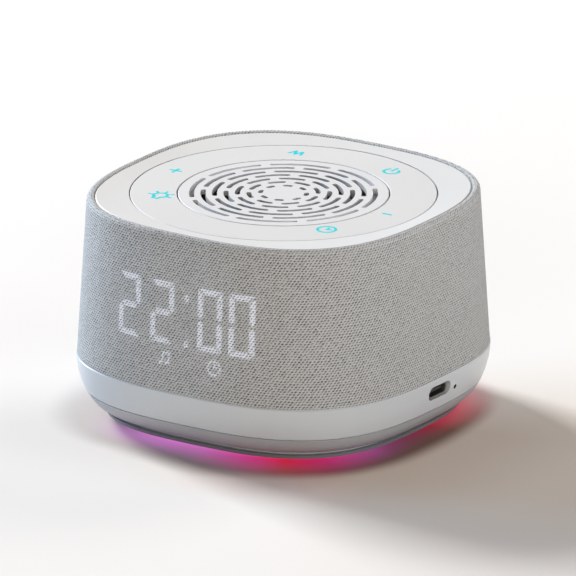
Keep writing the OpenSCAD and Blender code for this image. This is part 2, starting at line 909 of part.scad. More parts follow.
module dust_cap() {
    cap_r = 8.8;
    rise = 2.6;
    skin = 0.3;
    base = cone_neck_z + 1.05;
    outer_r = (cap_r * cap_r + rise * rise) / (2 * rise);
    color("#1c1d1f")
        rotate_extrude($fn = 64)
            intersection() {
                translate([0, base + rise - outer_r])
                    difference() {
                        circle(r = outer_r, $fn = 128);
                        circle(r = outer_r - skin, $fn = 128);
                    }
                translate([0, base])
                    square([cap_r + 1, rise + 1]);
            }
}

module surround() {
    roll_in = cone_r + 0.05;
    roll_out = flange_hole_r;
    roll_mid = (roll_in + roll_out) / 2;
    roll_r = (roll_out - roll_in) / 2;
    rubber = 0.35;
    lip_t = 0.3;
    color("#2a2a2c")
        rotate_extrude($fn = 96) {
            translate([roll_mid, basket_top + 0.02])
                intersection() {
                    difference() {
                        circle(r = roll_r, $fn = 48);
                        circle(r = roll_r - rubber, $fn = 48);
                    }
                    translate([-roll_r - 1, 0])
                        square([2 * roll_r + 2, roll_r + 1]);
                }
            translate([roll_out - rubber, basket_top + 0.02])
                square([1.6 + rubber, lip_t]);
        }
}

module speaker_gasket() {
    color("#b8b9ba")
        washer(flange_r, flange_hole_r + 0.1, basket_top + 0.37, grille_low - seat_gap);
}

module speaker_terminals() {
    color("#c8b25a")
        rotate(terminal_angle)
            translate([cone_r - 1, 0, 0]) {
                box(0.25, 1.2, -5, 5, spider_z - 5.2, spider_z - 0.55);
                for (side = [-1, 1])
                    box(1.2, 3.2, side * 3 - 1, side * 3 + 1, spider_z - 4.2, spider_z - 3.7);
            }
}

// ---- Display ----
window_arc_r = 110;
film_t = 0.5;
film_back = 0.1 + film_t;
window_slip = 0.2;

// A block behind the window whose front follows the curve of the wall
module curved_block(front, back) {
    low = window_span[0] + window_slip;
    high = window_span[1] - window_slip;
    half = window_w / 2 - window_slip;
    intersection() {
        translate([-half, -bite, low])
            cube([2 * half, back + bite, high - low]);
        translate([0, window_arc_r, low - 1])
            cylinder(r = window_arc_r - front, h = high - low + 2, $fn = 256);
    }
}

module display_film() {
    color("#dcdce4")
        on_front_wall()
            difference() {
                curved_block(0.1, reflector_back);
                translate([0, window_arc_r, window_span[0] - 1])
                    cylinder(
                        r = window_arc_r - film_back,
                        h = window_span[1] - window_span[0] + 2,
                        $fn = 256
                    );
            }
}

// Outline of one segment lying along X, with pointed ends
module segment_shape(length) {
    h = segment_w / 2;
    polygon([
        [-length / 2, 0], [-length / 2 + h, h], [length / 2 - h, h],
        [length / 2, 0], [length / 2 - h, -h], [-length / 2 + h, -h]
    ]);
}

module digit_shape() {
    across = digit_w - segment_w - 0.4;
    along = digit_h / 2 - segment_w / 2 - 0.4;
    x = (digit_w - segment_w) / 2;
    y = digit_h / 2 - segment_w / 2;
    for (row = [-1, 0, 1])
        translate([0, row * y])
            segment_shape(across);
    for (side = [-1, 1])
        for (row = [-1, 1])
            translate([side * x, row * y / 2])
                rotate(90)
                    segment_shape(along);
}

colon_x = 1.7;
colon_rise = [-7.85, 5.1];
note_x = -5;
clock_x = 10.85;
icon_drop = -12.9;

module light_windows() {
    for (x = digit_x)
        translate([x, 0])
            digit_shape();
    for (z = colon_rise)
        translate([colon_x, z])
            square(segment_w, center = true);
    for (x = [note_x, clock_x])
        translate([x, icon_drop])
            circle(d = 4.6, $fn = 32);
}

module display_reflector() {
    lug_w = 6.2;
    color("#ecece8")
        on_front_wall()
            difference() {
                union() {
                    curved_block(film_back + seat_gap, reflector_back);
                    for (side = [-1, 1])
                        for (z = display_screw_z)
                            translate([side * (display_screw_x - lug_w / 2 + lug_past_hole), 0, z])
                                translate([-lug_w / 2, lug_front, -2.8])
                                    cube([lug_w, lug_t, 5.6]);
                }
                translate([0, reflector_back + 1, 0])
                    rotate([90, 0, 0])
                        linear_extrude(reflector_back + 2)
                            light_windows();
                for (side = [-1, 1])
                    for (z = display_screw_z)
                        translate([side * display_screw_x, reflector_back + 1, z])
                            rotate([90, 0, 0])
                                cylinder(d = small_screw_d + 2 * slip_gap, h = lug_t + 2, $fn = 32);
            }
}

display_board_t = 1.2;

module display_board() {
    color("#1d5c3a")
        on_front_wall()
            translate([-window_w / 2, reflector_back + seat_gap, window_span[0] + 0.5])
                cube([window_w, display_board_t, window_span[1] - window_span[0] - 1]);
}

module display_leds() {
    x = (digit_w - segment_w) / 2;
    y = digit_h / 2 - segment_w / 2;
    chip_d = 1.1;
    chip_t = 0.8;
    spots = concat(
        [for (d = digit_x) for (row = [-1, 0, 1]) [d, row * y]],
        [for (d = digit_x) for (sx = [-1, 1]) for (sy = [-1, 1]) [d + sx * x, sy * y / 2]],
        [for (z = colon_rise) [colon_x, z]],
        [for (c = [note_x, clock_x]) [c, icon_drop]]
    );
    color("#f6f3dc")
        on_front_wall()
            for (p = spots)
                translate([p[0] - chip_d / 2, reflector_back - chip_t + seat_gap, p[1] - chip_d / 2])
                    cube([chip_d, chip_t, chip_d]);
}

module display_screws() {
    color("#9a9ca0")
        on_front_wall()
            for (side = [-1, 1])
                for (z = display_screw_z)
                    translate([side * display_screw_x, reflector_back, z])
                        rotate([90, 0, 0])
                            screw(small_screw_d, small_head_d, small_head_h, 0, display_screw_l);
}

// ---- Main board and what stands on it ----
board_low = board_top_z - board_t;
inlet_x = base_half - base_wall + 0.8;
board_x0 = 9;
board_x1 = inlet_x - 5.7;
board_y = 30;
usb_w = 8.94;
usb_h = 3.2;
usb_l = 7.3;
usb_centre_z = board_top_z + usb_h / 2 + seat_gap;
reset_z = board_top_z + 0.6;
board_screw_places = [
    [board_x0 + 4, 15, 0], [board_x0 + 4, -15, 0],
    [board_x1 - 6, 17, 0], [board_x1 - 6, -17, 0]
];

module main_board() {
    tongue_y = 11;
    corner = 6;
    color("#1d5c3a")
        difference() {
            translate([0, 0, board_low])
                linear_extrude(board_t)
                    polygon([
                        [board_x0, -board_y], [board_x1 - corner, -board_y],
                        [board_x1, -board_y + 2 * corner], [board_x1, -tongue_y],
                        [inlet_x - 3.2, -tongue_y], [inlet_x - 3.2, tongue_y],
                        [board_x1, tongue_y], [board_x1, board_y - 2 * corner],
                        [board_x1 - corner, board_y], [board_x0, board_y]
                    ]);
            at_corners(housing_screw_xy, housing_screw_xy)
                post(7.8, board_low - bite, board_top_z + bite);
            for (p = board_screw_places)
                translate(p)
                    post(small_screw_d + 2 * slip_gap, board_low - bite, board_top_z + bite);
        }
}

module board_screws() {
    color("#9a9ca0")
        for (p = board_screw_places)
            translate([p[0], p[1], board_top_z])
                mirror([0, 0, 1])
                    screw(small_screw_d, small_head_d, small_head_h, 0, board_top_z - pan_floor_z + 0.6);
}

module board_chips() {
    z = board_top_z;
    x = board_x1;
    color("#1b1c1e") {
        box(x - 20, x - 13, -4, 3, z, z + 1);
        box(x - 29, x - 24, 4, 9, z, z + 1);
        box(x - 16, x - 12, 8, 14, z, z + 1.2);
        box(x - 27, x - 22, -10, -5, z, z + 3);
    }
    color("#c9ccd1") {
        translate([x - 11, -12, 0])
            post(6.3, z, z + 7.7);
        translate([x - 18, -12, 0])
            post(5, z, z + 5.4);
        for (y = [-6, -3, 0, 3])
            box(x - 10, x - 8.4, y, y + 0.8, z, z + 0.7);
    }
}

connector_h = 4.2;
ribbon_plug_h = 2;
// Where the loudspeaker's and the cell's leads and the key ribbon plug in
lead_plug_x = board_x0 + 4;
lead_plug_y = [-1.5, -23.5];
key_plug_x = inlet_x - usb_l - 4.8;
ribbon_end_z = board_top_z + ribbon_plug_h + seat_gap;

module board_connectors() {
    z = board_top_z;
    color("#efece2") {
        for (y = lead_plug_y)
            box(lead_plug_x - 2.8, lead_plug_x + 2.7, y - 3, y + 3, z, z + connector_h);
        box(
            key_plug_x - 1.6, key_plug_x + 2.4, -key_ribbon_w / 2 - 1, key_ribbon_w / 2 + 1,
            z, z + ribbon_plug_h
        );
        box(
            display_ribbon_x - 5, display_ribbon_x + 5, -board_y + 0.6, -board_y + 3.6,
            z, z + ribbon_plug_h
        );
    }
}

module usb_c_shell() {
    color("#c4c6ca")
        translate([inlet_x - usb_l, 0, usb_centre_z])
            rotate([90, 0, 90])
                difference() {
                    linear_extrude(usb_l)
                        usb_outline(usb_w, usb_h);
                    translate([0, 0, 0.9])
                        linear_extrude(usb_l)
                            usb_outline(usb_w - 0.6, usb_h - 0.6);
                }
}

// A flat slot with fully round ends
module usb_outline(w, h) {
    square([w - h, h], center = true);
    for (side = [-1, 1])
        translate([side * (w - h) / 2, 0])
            circle(d = h, $fn = 32);
}

module usb_c_tongue() {
    color("#202124")
        box(
            inlet_x - usb_l + 0.9, inlet_x - 0.9, -3.3, 3.3,
            usb_centre_z - 0.35, usb_centre_z + 0.35
        );
}

reset_w = 4.6;
reset_h = 1.7;
reset_l = 3.4;
// Inside of the band at height z, on the centre line
function band_inside(z) =
    base_half - base_wall
    - (base_half - base_outer(seam_z)) * (band_top_z - z) / (band_top_z - seam_z);
reset_tip = 0.9;
reset_back = band_inside(reset_z) - 0.8 - reset_tip - reset_l;
reset_bar = 0.8;

module reset_switch() {
    front = reset_back + reset_l;
    color("#2a2b2e")
        difference() {
            box(
                reset_back, front, reset_y - reset_w / 2 + 0.5, reset_y + reset_w / 2 + 0.5,
                board_top_z, board_top_z + reset_h
            );
            box(
                front - 1.6, front + bite, reset_y - 1.35, reset_y + 1.35,
                reset_z - reset_bar / 2 - 0.15, reset_z + reset_bar / 2 + 0.15
            );
        }
}

module reset_plunger() {
    front = reset_back + reset_l;
    color("#e8e6dc")
        box(
            front - 1.6 + reset_travel + 0.1, front + reset_tip, reset_y - 1.2, reset_y + 1.2,
            reset_z - reset_bar / 2, reset_z + reset_bar / 2
        );
}

cell_x = -4;
pad_t = 0.8;
cell_z = pan_floor_z + pad_t + cell_d / 2;

module battery_cell() {
    color("#2f6fa8")
        translate([cell_x, cell_l / 2, cell_z])
            rotate([90, 0, 0])
                rotate_extrude($fn = 64)
                    polygon([
                        [0, 0],
                        [cell_d / 2 - 0.6, 0],
                        [cell_d / 2, 0.6],
                        [cell_d / 2, cell_l - 0.6],
                        [cell_d / 2 - 0.6, cell_l],
                        [3, cell_l],
                        [3, cell_l + 0.9],
                        [0, cell_l + 0.9]
                    ]);
}

module battery_pad() {
    color("#5b5d60")
        box(cell_x - 3, cell_x + 3, -22, 22, pan_floor_z, pan_floor_z + pad_t - seat_gap);
}

// ---- Ribbons and leads ----
ribbon_t = 0.3;
key_ribbon_w = 8;
key_ribbon_x = ring_r - 3.95;
display_ribbon_x = 16;
light_ribbon_x = 10;
light_ribbon_y = 33;
light_ribbon_w = 4;
terminal_angle = 180;

module key_ribbon() {
    color("#d8d4c4")
        translate([0, key_ribbon_w / 2, 0])
            rotate([90, 0, 0])
                linear_extrude(key_ribbon_w)
                    polygon([
                        [key_plug_x, ribbon_end_z],
                        [key_plug_x + ribbon_t, ribbon_end_z],
                        [key_plug_x + ribbon_t, ribbon_end_z + 4],
                        [key_ribbon_x + ribbon_t, deck_low - 4],
                        [key_ribbon_x + ribbon_t, board_z],
                        [key_ribbon_x, board_z],
                        [key_ribbon_x, deck_low - 4],
                        [key_plug_x, ribbon_end_z + 4]
                    ]);
}

module display_ribbon() {
    top_z = digit_z + window_span[0] + 5;
    back_y = -shell_half(digit_z) + reflector_back + display_board_t
        - (digit_z - top_z) * tan(wall_tilt) + 0.5;
    plug_y = -board_y + 2.1;
    w = 8;
    color("#d8d4c4")
        translate([display_ribbon_x - w / 2, 0, 0])
            rotate([90, 0, 90])
                linear_extrude(w)
                    polygon([
                        [back_y, top_z],
                        [back_y, top_z - 4],
                        [plug_y, ribbon_end_z + 4],
                        [plug_y, ribbon_end_z],
                        [plug_y + ribbon_t, ribbon_end_z],
                        [plug_y + ribbon_t, ribbon_end_z + 4.1],
                        [back_y + ribbon_t, top_z - 3.9],
                        [back_y + ribbon_t, top_z]
                    ]);
}

module light_ribbon() {
    color("#d8d4c4")
        box(
            light_ribbon_x, light_ribbon_x + ribbon_t,
            light_ribbon_y - light_ribbon_w / 2, light_ribbon_y + light_ribbon_w / 2,
            light_board_z, board_low - 0.3
        );
}

module battery_lead() {
    color("#b03030")
        lead([
            [cell_x, -cell_l / 2 - 1.75, cell_z],
            [cell_x + 12, -cell_l / 2 - 1.75, cell_z],
            [8.5, -30, cell_z + 2],
            [9, -24, cell_z + 4],
            [lead_plug_x, lead_plug_y[1], cell_z + 4],
            [lead_plug_x, lead_plug_y[1], board_top_z + connector_h + seat_gap]
        ], 1.3, [-1, 1, 1]);
}

module speaker_lead() {
    color("#2c2c2e")
        lead([
            [-cone_r - 1.2, 3, spider_z - 4.6],
            [-cone_r - 1.9, 6, front_plate_low - 6],
            [-cone_r + 0.6, 10, magnet_low - yoke_t - 1.5],
            [6, 10, magnet_low - yoke_t - 1.5],
            [lead_plug_x, 4, cell_z + 8.4],
            [lead_plug_x, lead_plug_y[0], cell_z + 4.4],
            [lead_plug_x, lead_plug_y[0], board_top_z + connector_h + seat_gap]
        ], 1.3);
}

fabric_sleeve();
inner_shell();
top_plate();
grille();
base_ring();
base_pan();
foot_plate();
light_ring();
rubber_feet();
housing_screws();
deck_screws();
key_ring();
icon_guides();
key_board();
tact_switches();
switch_plungers();
key_leds();
key_board_screws();
speaker_basket();
speaker_yoke();
speaker_magnet();
speaker_front_plate();
coil_former();
voice_coil();
spider();
speaker_cone();
dust_cap();
surround();
speaker_gasket();
speaker_terminals();
display_film();
display_reflector();
display_board();
display_leds();
display_screws();
main_board();
board_chips();
board_connectors();
board_screws();
usb_c_shell();
usb_c_tongue();
reset_switch();
reset_plunger();
battery_cell();
battery_pad();
light_board();
light_leds();
key_ribbon();
display_ribbon();
light_ribbon();
battery_lead();
speaker_lead();
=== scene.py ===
import bpy
import math
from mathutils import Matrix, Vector


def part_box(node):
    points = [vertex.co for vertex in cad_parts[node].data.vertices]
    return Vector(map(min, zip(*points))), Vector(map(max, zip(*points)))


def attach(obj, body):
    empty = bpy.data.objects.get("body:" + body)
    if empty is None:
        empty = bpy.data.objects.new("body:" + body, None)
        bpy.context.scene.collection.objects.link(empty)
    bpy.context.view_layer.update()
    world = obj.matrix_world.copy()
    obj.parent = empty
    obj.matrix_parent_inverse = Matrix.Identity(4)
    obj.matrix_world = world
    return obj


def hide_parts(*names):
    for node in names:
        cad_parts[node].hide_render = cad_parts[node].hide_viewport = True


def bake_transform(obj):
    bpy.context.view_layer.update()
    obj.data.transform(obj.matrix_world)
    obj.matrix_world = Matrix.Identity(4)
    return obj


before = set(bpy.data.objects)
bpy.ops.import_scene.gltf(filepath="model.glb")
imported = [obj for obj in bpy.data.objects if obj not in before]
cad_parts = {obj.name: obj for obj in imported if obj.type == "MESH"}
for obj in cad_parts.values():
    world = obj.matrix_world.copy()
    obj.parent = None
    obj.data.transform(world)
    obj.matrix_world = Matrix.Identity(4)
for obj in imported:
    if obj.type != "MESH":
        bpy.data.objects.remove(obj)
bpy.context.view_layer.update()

# ---- Camera ----
# A very long lens a little above the machine, looking at the corner between the
# clock and the inlet, so that the clock faces left and the inlet faces right. Its
# aim lies a little to the right of the middle of the key ring, and well below it.
MM = 0.001
azimuth = math.radians(33.582)
elevation = math.radians(18.336)
view_width = 155.776 * MM
face_z = 61.2
aim_right = 1.195
aim_down = 25.745
lens = 1500.0
sensor = 36.0
distance = lens / sensor * view_width
right = Vector((math.cos(azimuth), math.sin(azimuth), 0))
back = Vector((
    math.cos(elevation) * math.sin(azimuth),
    -math.cos(elevation) * math.cos(azimuth),
    math.sin(elevation),
))
up = back.cross(right)
aim = Vector((0, 0, face_z * MM)) + right * aim_right * MM - up * aim_down * MM
camera = bpy.data.objects.new("camera", bpy.data.cameras.new("camera"))
camera.data.lens = lens
camera.data.sensor_width = sensor
camera.data.clip_start = 0.1
camera.data.clip_end = 30
camera.location = aim + back * distance
camera.rotation_euler = (-back).to_track_quat("-Z", "Y").to_euler()
bpy.context.scene.collection.objects.link(camera)
bpy.context.scene.camera = camera
bpy.context.scene.view_settings.view_transform = "Standard"


# ---- Floor ----
# A pale matt floor. A band of the colour that the ring of lights under the base throws
# is painted on it close to the lip, a painted glow, with painted shade outside that
# and in the lee of the machine.
def new_finish(name):
    """A material, its node tree and its shader."""
    material = bpy.data.materials.new(name)
    material.use_nodes = True
    tree = material.node_tree
    return material, tree, tree.nodes["Principled BSDF"]


def node(tree, kind, **values):
    """A shader node with the given properties, and inputs given as numbers or sockets."""
    made = tree.nodes.new("ShaderNode" + kind)
    for key, value in values.items():
        if key.startswith("in_"):
            key = key[3:]
            name = int(key) if key.isdigit() else key.replace("_", " ")
            socket = made.inputs[name]
            if isinstance(value, bpy.types.NodeSocket):
                tree.links.new(value, socket)
            else:
                socket.default_value = value
        else:
            setattr(made, key, value)
    return made


def calc(tree, operation, a, b=0.0, c=0.0, clamp=False):
    """One sum on numbers or sockets."""
    made = node(tree, "Math", operation=operation, use_clamp=clamp, in_0=a, in_1=b, in_2=c)
    return made.outputs[0]


def times(tree, a, b):
    """One number times another."""
    return calc(tree, "MULTIPLY", a, b)


def smooth_step(tree, value, low, high):
    """0 below low, 1 above high and a smooth rise between."""
    made = node(
        tree, "MapRange", interpolation_type="SMOOTHSTEP", in_0=value, in_1=low, in_2=high,
    )
    return made.outputs[0]


def mix_colours(tree, share, a, b):
    """Colour a, with a share of colour b mixed in."""
    made = node(tree, "Mix", data_type="RGBA", in_0=share)
    for socket, value in ((made.inputs[6], a), (made.inputs[7], b)):
        if isinstance(value, bpy.types.NodeSocket):
            tree.links.new(value, socket)
        else:
            socket.default_value = (*value, 1)
    return made.outputs[2]


def around(tree):
    """x, y and z of the shaded point, in metres, and its turn about the middle from 0 to 1."""
    place = node(tree, "NewGeometry").outputs["Position"]
    x, y, z = node(tree, "SeparateXYZ", in_0=place).outputs
    turn = calc(tree, "DIVIDE", calc(tree, "ARCTAN2", y, x), 2 * math.pi)
    return x, y, z, calc(tree, "ADD", turn, 0.5)


def colours_round(tree, turn, stops):
    """A colour for each turn, from a list of (degrees from +X, colour)."""
    made = node(tree, "ValToRGB", in_0=turn)
    band = made.color_ramp
    while len(band.elements) < len(stops):
        band.elements.new(0.5)
    for element, (degrees, colour) in zip(band.elements, stops):
        element.position = (degrees + 180) / 360
        element.color = (*colour, 1)
    return made.outputs[0]


def levels_round(tree, turn, stops):
    """A level for each turn, from a list of (degrees from +X, level)."""
    return colours_round(tree, turn, [(degrees, (level,) * 3) for degrees, level in stops])


floor_half = 3.0
floor_mesh = bpy.data.meshes.new("floor")
floor_mesh.from_pydata(
    [(-floor_half, -floor_half, 0), (floor_half, -floor_half, 0),
     (floor_half, floor_half, 0), (-floor_half, floor_half, 0)],
    [], [(0, 1, 2, 3)],
)
floor = bpy.data.objects.new("floor", floor_mesh)
bpy.context.scene.collection.objects.link(floor)

# How far each point of the floor lies outside the lip of the base.
lip_half = 43.8 * MM
base_power = 2.9
material, tree, shader = new_finish("floor_white")
x, y, z, turn = around(tree)
reach = calc(
    tree, "ADD",
    calc(tree, "POWER", calc(tree, "ABSOLUTE", x), base_power),
    calc(tree, "POWER", calc(tree, "ABSOLUTE", y), base_power))
reach = calc(tree, "SUBTRACT", calc(tree, "POWER", reach, 1 / base_power), lip_half)

# The colours of the ring of lights, how strongly each shows in the glow painted on the
# floor, and how wide its painted band is.
light_colours = [
    (-180, (0.80, 0.10, 0.26)), (-156, (0.80, 0.30, 0.55)), (-122, (0.78, 0.26, 0.78)),
    (-88, (0.70, 0.18, 0.60)), (-70, (0.75, 0.05, 0.34)), (-56, (0.76, 0.008, 0.066)),
    (-42, (0.66, 0.02, 0.19)), (-22, (0.64, 0.12, 0.46)), (-6, (0.55, 0.07, 0.24)),
    (12, (0.70, 0.014, 0.07)), (45, (0.78, 0.06, 0.13)), (90, (0.55, 0.14, 0.75)),
    (135, (0.85, 0.10, 0.40)), (180, (0.80, 0.10, 0.26)),
]
strong = levels_round(tree, turn, [
    (-180, 0.04), (-146, 0.03), (-130, 0.16), (-121, 0.52), (-112, 0.84), (-102, 0.94), (-60, 1.0),
    (-40, 0.90), (-28, 0.64), (-16, 0.36), (-4, 0.30), (8, 0.38), (20, 0.66), (34, 0.72),
    (54, 0.60), (180, 0.04),
])
glow_band = levels_round(tree, turn, [
    (-180, 0.8), (-120, 0.64), (-92, 0.70), (-66, 1.0), (-46, 1.0), (-26, 0.62), (0, 0.42),
    (22, 0.74), (50, 0.9), (180, 0.8),
])
widest_glow = 14 * MM
halo_reach = 18 * MM
glow_colour = colours_round(tree, turn, light_colours)
glow_out = calc(tree, "DIVIDE", reach, times(tree, glow_band, widest_glow))
near = calc(tree, "POWER", smooth_step(tree, glow_out, 1.0, -0.45), 1.25)
near = times(tree, near, strong)
halo = times(tree, smooth_step(tree, reach, halo_reach, 0.0), strong)

# Painted shade: a band of deep shade painted outside the painted light, where the pan
# keeps the lamps off.
shade = levels_round(tree, turn, [
    (-180, 0.12), (-150, 0.27), (-128, 0.29), (-112, 0.44), (-100, 0.56), (-88, 0.64), (-70, 0.74),
    (-50, 0.88), (-20, 0.95), (10, 0.94), (28, 0.66), (46, 0.20), (90, 0.0), (180, 0.12),
])
shade_band = levels_round(tree, turn, [
    (-180, 0.8), (-150, 0.70), (-110, 0.62), (-96, 0.72), (-80, 0.82), (-66, 0.66), (-50, 0.52),
    (-25, 0.54), (0, 0.52), (14, 0.46), (40, 0.44), (180, 0.8),
])
widest_shade = 24 * MM
shade_out = calc(tree, "DIVIDE", reach, times(tree, shade_band, widest_shade))
dim = times(tree, smooth_step(tree, shade_out, 1.0, 0.4), shade)

# Painted shade: warm grey painted round the machine, deepest and widest away from the
# key lamp.
near_lee_colour = colours_round(tree, turn, [
    (-180, (0.83, 0.79, 0.75)), (-100, (0.80, 0.755, 0.71)), (-84, (0.80, 0.72, 0.66)),
    (-68, (0.80, 0.58, 0.51)), (-52, (0.73, 0.49, 0.41)), (-38, (0.62, 0.51, 0.43)),
    (12, (0.60, 0.51, 0.45)), (36, (0.74, 0.70, 0.67)), (70, (0.84, 0.82, 0.80)),
    (180, (0.83, 0.79, 0.75)),
])
near_lee_band = levels_round(tree, turn, [
    (-180, 0.9), (-100, 0.8), (-70, 0.62), (-54, 0.66), (-40, 0.9), (-20, 1.0), (180, 0.9),
])
widest_near_lee = 56 * MM
near_lee_out = calc(tree, "DIVIDE", reach, times(tree, near_lee_band, widest_near_lee))
near_lee = smooth_step(tree, near_lee_out, 1.0, 0.14)
far_lee_level = levels_round(tree, turn, [
    (-180, 0.30), (-100, 0.15), (-56, 0.25), (-44, 0.6), (-32, 1.0), (12, 1.0), (40, 0.5),
    (80, 0.1), (180, 0.30),
])
far_lee = times(tree, far_lee_level, smooth_step(tree, reach, 190 * MM, 30 * MM))

open_white = (0.885, 0.858, 0.828)
painted_lee_shade = (0.79, 0.73, 0.68)
deep_shade = (0.17, 0.095, 0.072)
under_glow = (0.03, 0.02, 0.025)
floor_colour = mix_colours(tree, far_lee, open_white, painted_lee_shade)
floor_colour = mix_colours(tree, near_lee, floor_colour, near_lee_colour)
floor_colour = mix_colours(tree, dim, floor_colour, deep_shade)
glow_paint = mix_colours(tree, 0.4, glow_colour, under_glow)
floor_colour = mix_colours(tree, times(tree, near, 0.94), floor_colour, glow_paint)
tree.links.new(floor_colour, shader.inputs["Base Color"])
shader.inputs["Roughness"].default_value = 0.9
shader.inputs["Specular IOR Level"].default_value = 0.1

# The floor itself glows with the painted coloured light, most of it kept from tinting
# what stands on the floor, and a little white that lifts the open floor for the eye
# and in reflections.
near_power = 0.60
halo_power = 0.035
white_power = 0.05
glow_power = calc(tree, "ADD", times(tree, near, near_power), times(tree, halo, halo_power))
ray = node(tree, "LightPath").outputs
held_back = calc(
    tree, "MAXIMUM",
    times(tree, ray["Is Diffuse Ray"], 0.85), times(tree, ray["Is Glossy Ray"], 0.6))
spill = calc(tree, "SUBTRACT", 1.0, held_back)
glow = node(tree, "Emission", in_0=glow_colour, in_1=times(tree, glow_power, spill))
seen = calc(
    tree, "MAXIMUM", ray["Is Camera Ray"],
    calc(tree, "MAXIMUM", ray["Is Glossy Ray"], ray["Is Transmission Ray"]))
clear = calc(tree, "MULTIPLY_ADD", dim, -1.0, 1.0)
white = node(
    tree, "Emission", in_0=(1, 0.96, 0.92, 1),
    in_1=times(tree, times(tree, seen, clear), white_power))
both = node(tree, "AddShader", in_0=glow.outputs[0], in_1=white.outputs[0])
total = node(tree, "AddShader", in_0=shader.outputs[0], in_1=both.outputs[0])
tree.links.new(total.outputs[0], tree.nodes["Material Output"].inputs["Surface"])
floor_mesh.materials.append(material)

# ---- Studio light ----
# A warm, weak sky that looks white behind the machine, and five softboxes: the
# strongest stands far off at the left, and a blue one low down beside the clock.
warm_sky = (1.0, 0.79, 0.62)
sky_level = 0.13
world = bpy.data.worlds.new("studio")
world.use_nodes = True
bpy.context.scene.world = world
tree = world.node_tree
sky = tree.nodes["Background"]
ray = node(tree, "LightPath").outputs
seen = calc(tree, "MAXIMUM", ray["Is Camera Ray"], ray["Is Transmission Ray"])
tree.links.new(mix_colours(tree, seen, warm_sky, (1.0, 1.0, 1.0)), sky.inputs["Color"])
sky_power = calc(tree, "ADD", sky_level, times(tree, seen, 1 - sky_level))
tree.links.new(sky_power, sky.inputs["Strength"])


def softbox(name, place, width, height, power, colour):
    """A rectangular lamp that faces the middle of the machine."""
    middle = Vector((0, 0, 0.03))
    lamp = bpy.data.objects.new(name, bpy.data.lights.new(name, "AREA"))
    lamp.data.shape = "RECTANGLE"
    lamp.data.size = width
    lamp.data.size_y = height
    lamp.data.energy = power
    lamp.data.color = colour
    lamp.location = place
    lamp.rotation_euler = (middle - Vector(place)).to_track_quat("-Z", "Y").to_euler()
    bpy.context.scene.collection.objects.link(lamp)


softbox("key_lamp", (-3.08, 0.86, 1.74), 1.0, 1.0, 180, (0.965, 0.985, 1.0))
softbox("back_lamp", (0.9, 3.4, 2.5), 1.6, 1.6, 42, (1.0, 0.94, 0.88))
softbox("front_lamp", (1.3, -2.0, 0.60), 1.7, 0.9, 21.5, (0.98, 0.965, 0.91))
softbox("left_lamp", (-1.6, -0.26, 0.36), 0.7, 0.5, 12.5, (0.10, 0.48, 1.0))
softbox("right_lamp", (1.6, 0.35, 0.40), 0.9, 0.5, 10.8, (0.87, 0.93, 1.0))


# ---- Inner shell ----
# The black ABS drum that carries everything else. It is moulded in one piece with
# the deck for the loudspeaker and keys and the bosses behind the clock's window.
def moulded(name, colour, roughness=0.42, grain=0.12, mottle=0.05, coat=0.0):
    """Injection-moulded plastic: a fine spark texture, and a faint unevenness of colour
    and gloss."""
    material, tree, shader = new_finish(name)
    place = node(tree, "TexCoord").outputs["Object"]
    cloud = node(tree, "TexNoise", in_Vector=place, in_Scale=45.0, in_Detail=3.0).outputs["Fac"]
    darker = tuple(c * (1 - mottle) for c in colour)
    lighter = tuple(min(1, c * (1 + mottle)) for c in colour)
    tree.links.new(mix_colours(tree, cloud, darker, lighter), shader.inputs["Base Color"])
    spark = node(tree, "TexNoise", in_Vector=place, in_Scale=3200.0, in_Detail=1.0).outputs["Fac"]
    rough = node(tree, "MapRange", in_0=cloud, in_3=roughness - 0.05, in_4=roughness + 0.05)
    tree.links.new(rough.outputs[0], shader.inputs["Roughness"])
    bump = node(tree, "Bump", in_Strength=grain, in_Distance=0.02 * MM, in_Height=spark)
    tree.links.new(bump.outputs[0], shader.inputs["Normal"])
    shader.inputs["Coat Weight"].default_value = coat
    shader.inputs["Coat Roughness"].default_value = 0.15
    return material


# Rounds off the shading of gentle bends and leaves edges crisp.
soften = bpy.data.node_groups.new("soften", "GeometryNodeTree")
for way in ("INPUT", "OUTPUT"):
    soften.interface.new_socket("Geometry", in_out=way, socket_type="NodeSocketGeometry")
source = soften.nodes.new("NodeGroupInput")
target = soften.nodes.new("NodeGroupOutput")
joined = soften.nodes.new("GeometryNodeMergeByDistance")
joined.inputs["Distance"].default_value = 0.002 * MM
rounded = soften.nodes.new("GeometryNodeSetShadeSmooth")
crisp = soften.nodes.new("GeometryNodeSetShadeSmooth")
crisp.domain = "EDGE"
crisp.inputs["Shade Smooth"].default_value = False
bend = soften.nodes.new("GeometryNodeInputMeshEdgeAngle")
steep = soften.nodes.new("FunctionNodeCompare")
steep.data_type = "FLOAT"
steep.operation = "GREATER_THAN"
steep.inputs[1].default_value = math.radians(22)
soften.links.new(bend.outputs["Unsigned Angle"], steep.inputs[0])
soften.links.new(steep.outputs[0], crisp.inputs["Selection"])
for before, after in ((source, joined), (joined, rounded), (rounded, crisp)):
    soften.links.new(before.outputs[0], after.inputs["Geometry"])
soften.links.new(crisp.outputs[0], target.inputs[0])


def dress(name, material):
    """Gives a CAD node its finish and soft shading."""
    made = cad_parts[name]
    made.modifiers.new("soften", "NODES").node_group = soften
    made.data.materials.clear()
    made.data.materials.append(material)
    made.data.polygons.foreach_set("material_index", [0] * len(made.data.polygons))


dress("inner_shell", moulded("shell_plastic", (0.05, 0.05, 0.055), 0.55, 0.25, 0.08))

# ---- Fabric sleeve ----
# A knitted tube of polyester yarn pulled over the inner shell and glued at both
# ends; it turns over the top edge and tucks in beside the top plate.
base_half = 51.1
top_half = 48.9
rim_z = 62.2
band_top_z = 18.0
sleeve_low_z = 18.05
turn_z = rim_z - 2
rim_half = top_half - 2.1
fabric_t = 1.0
mid_z = 40


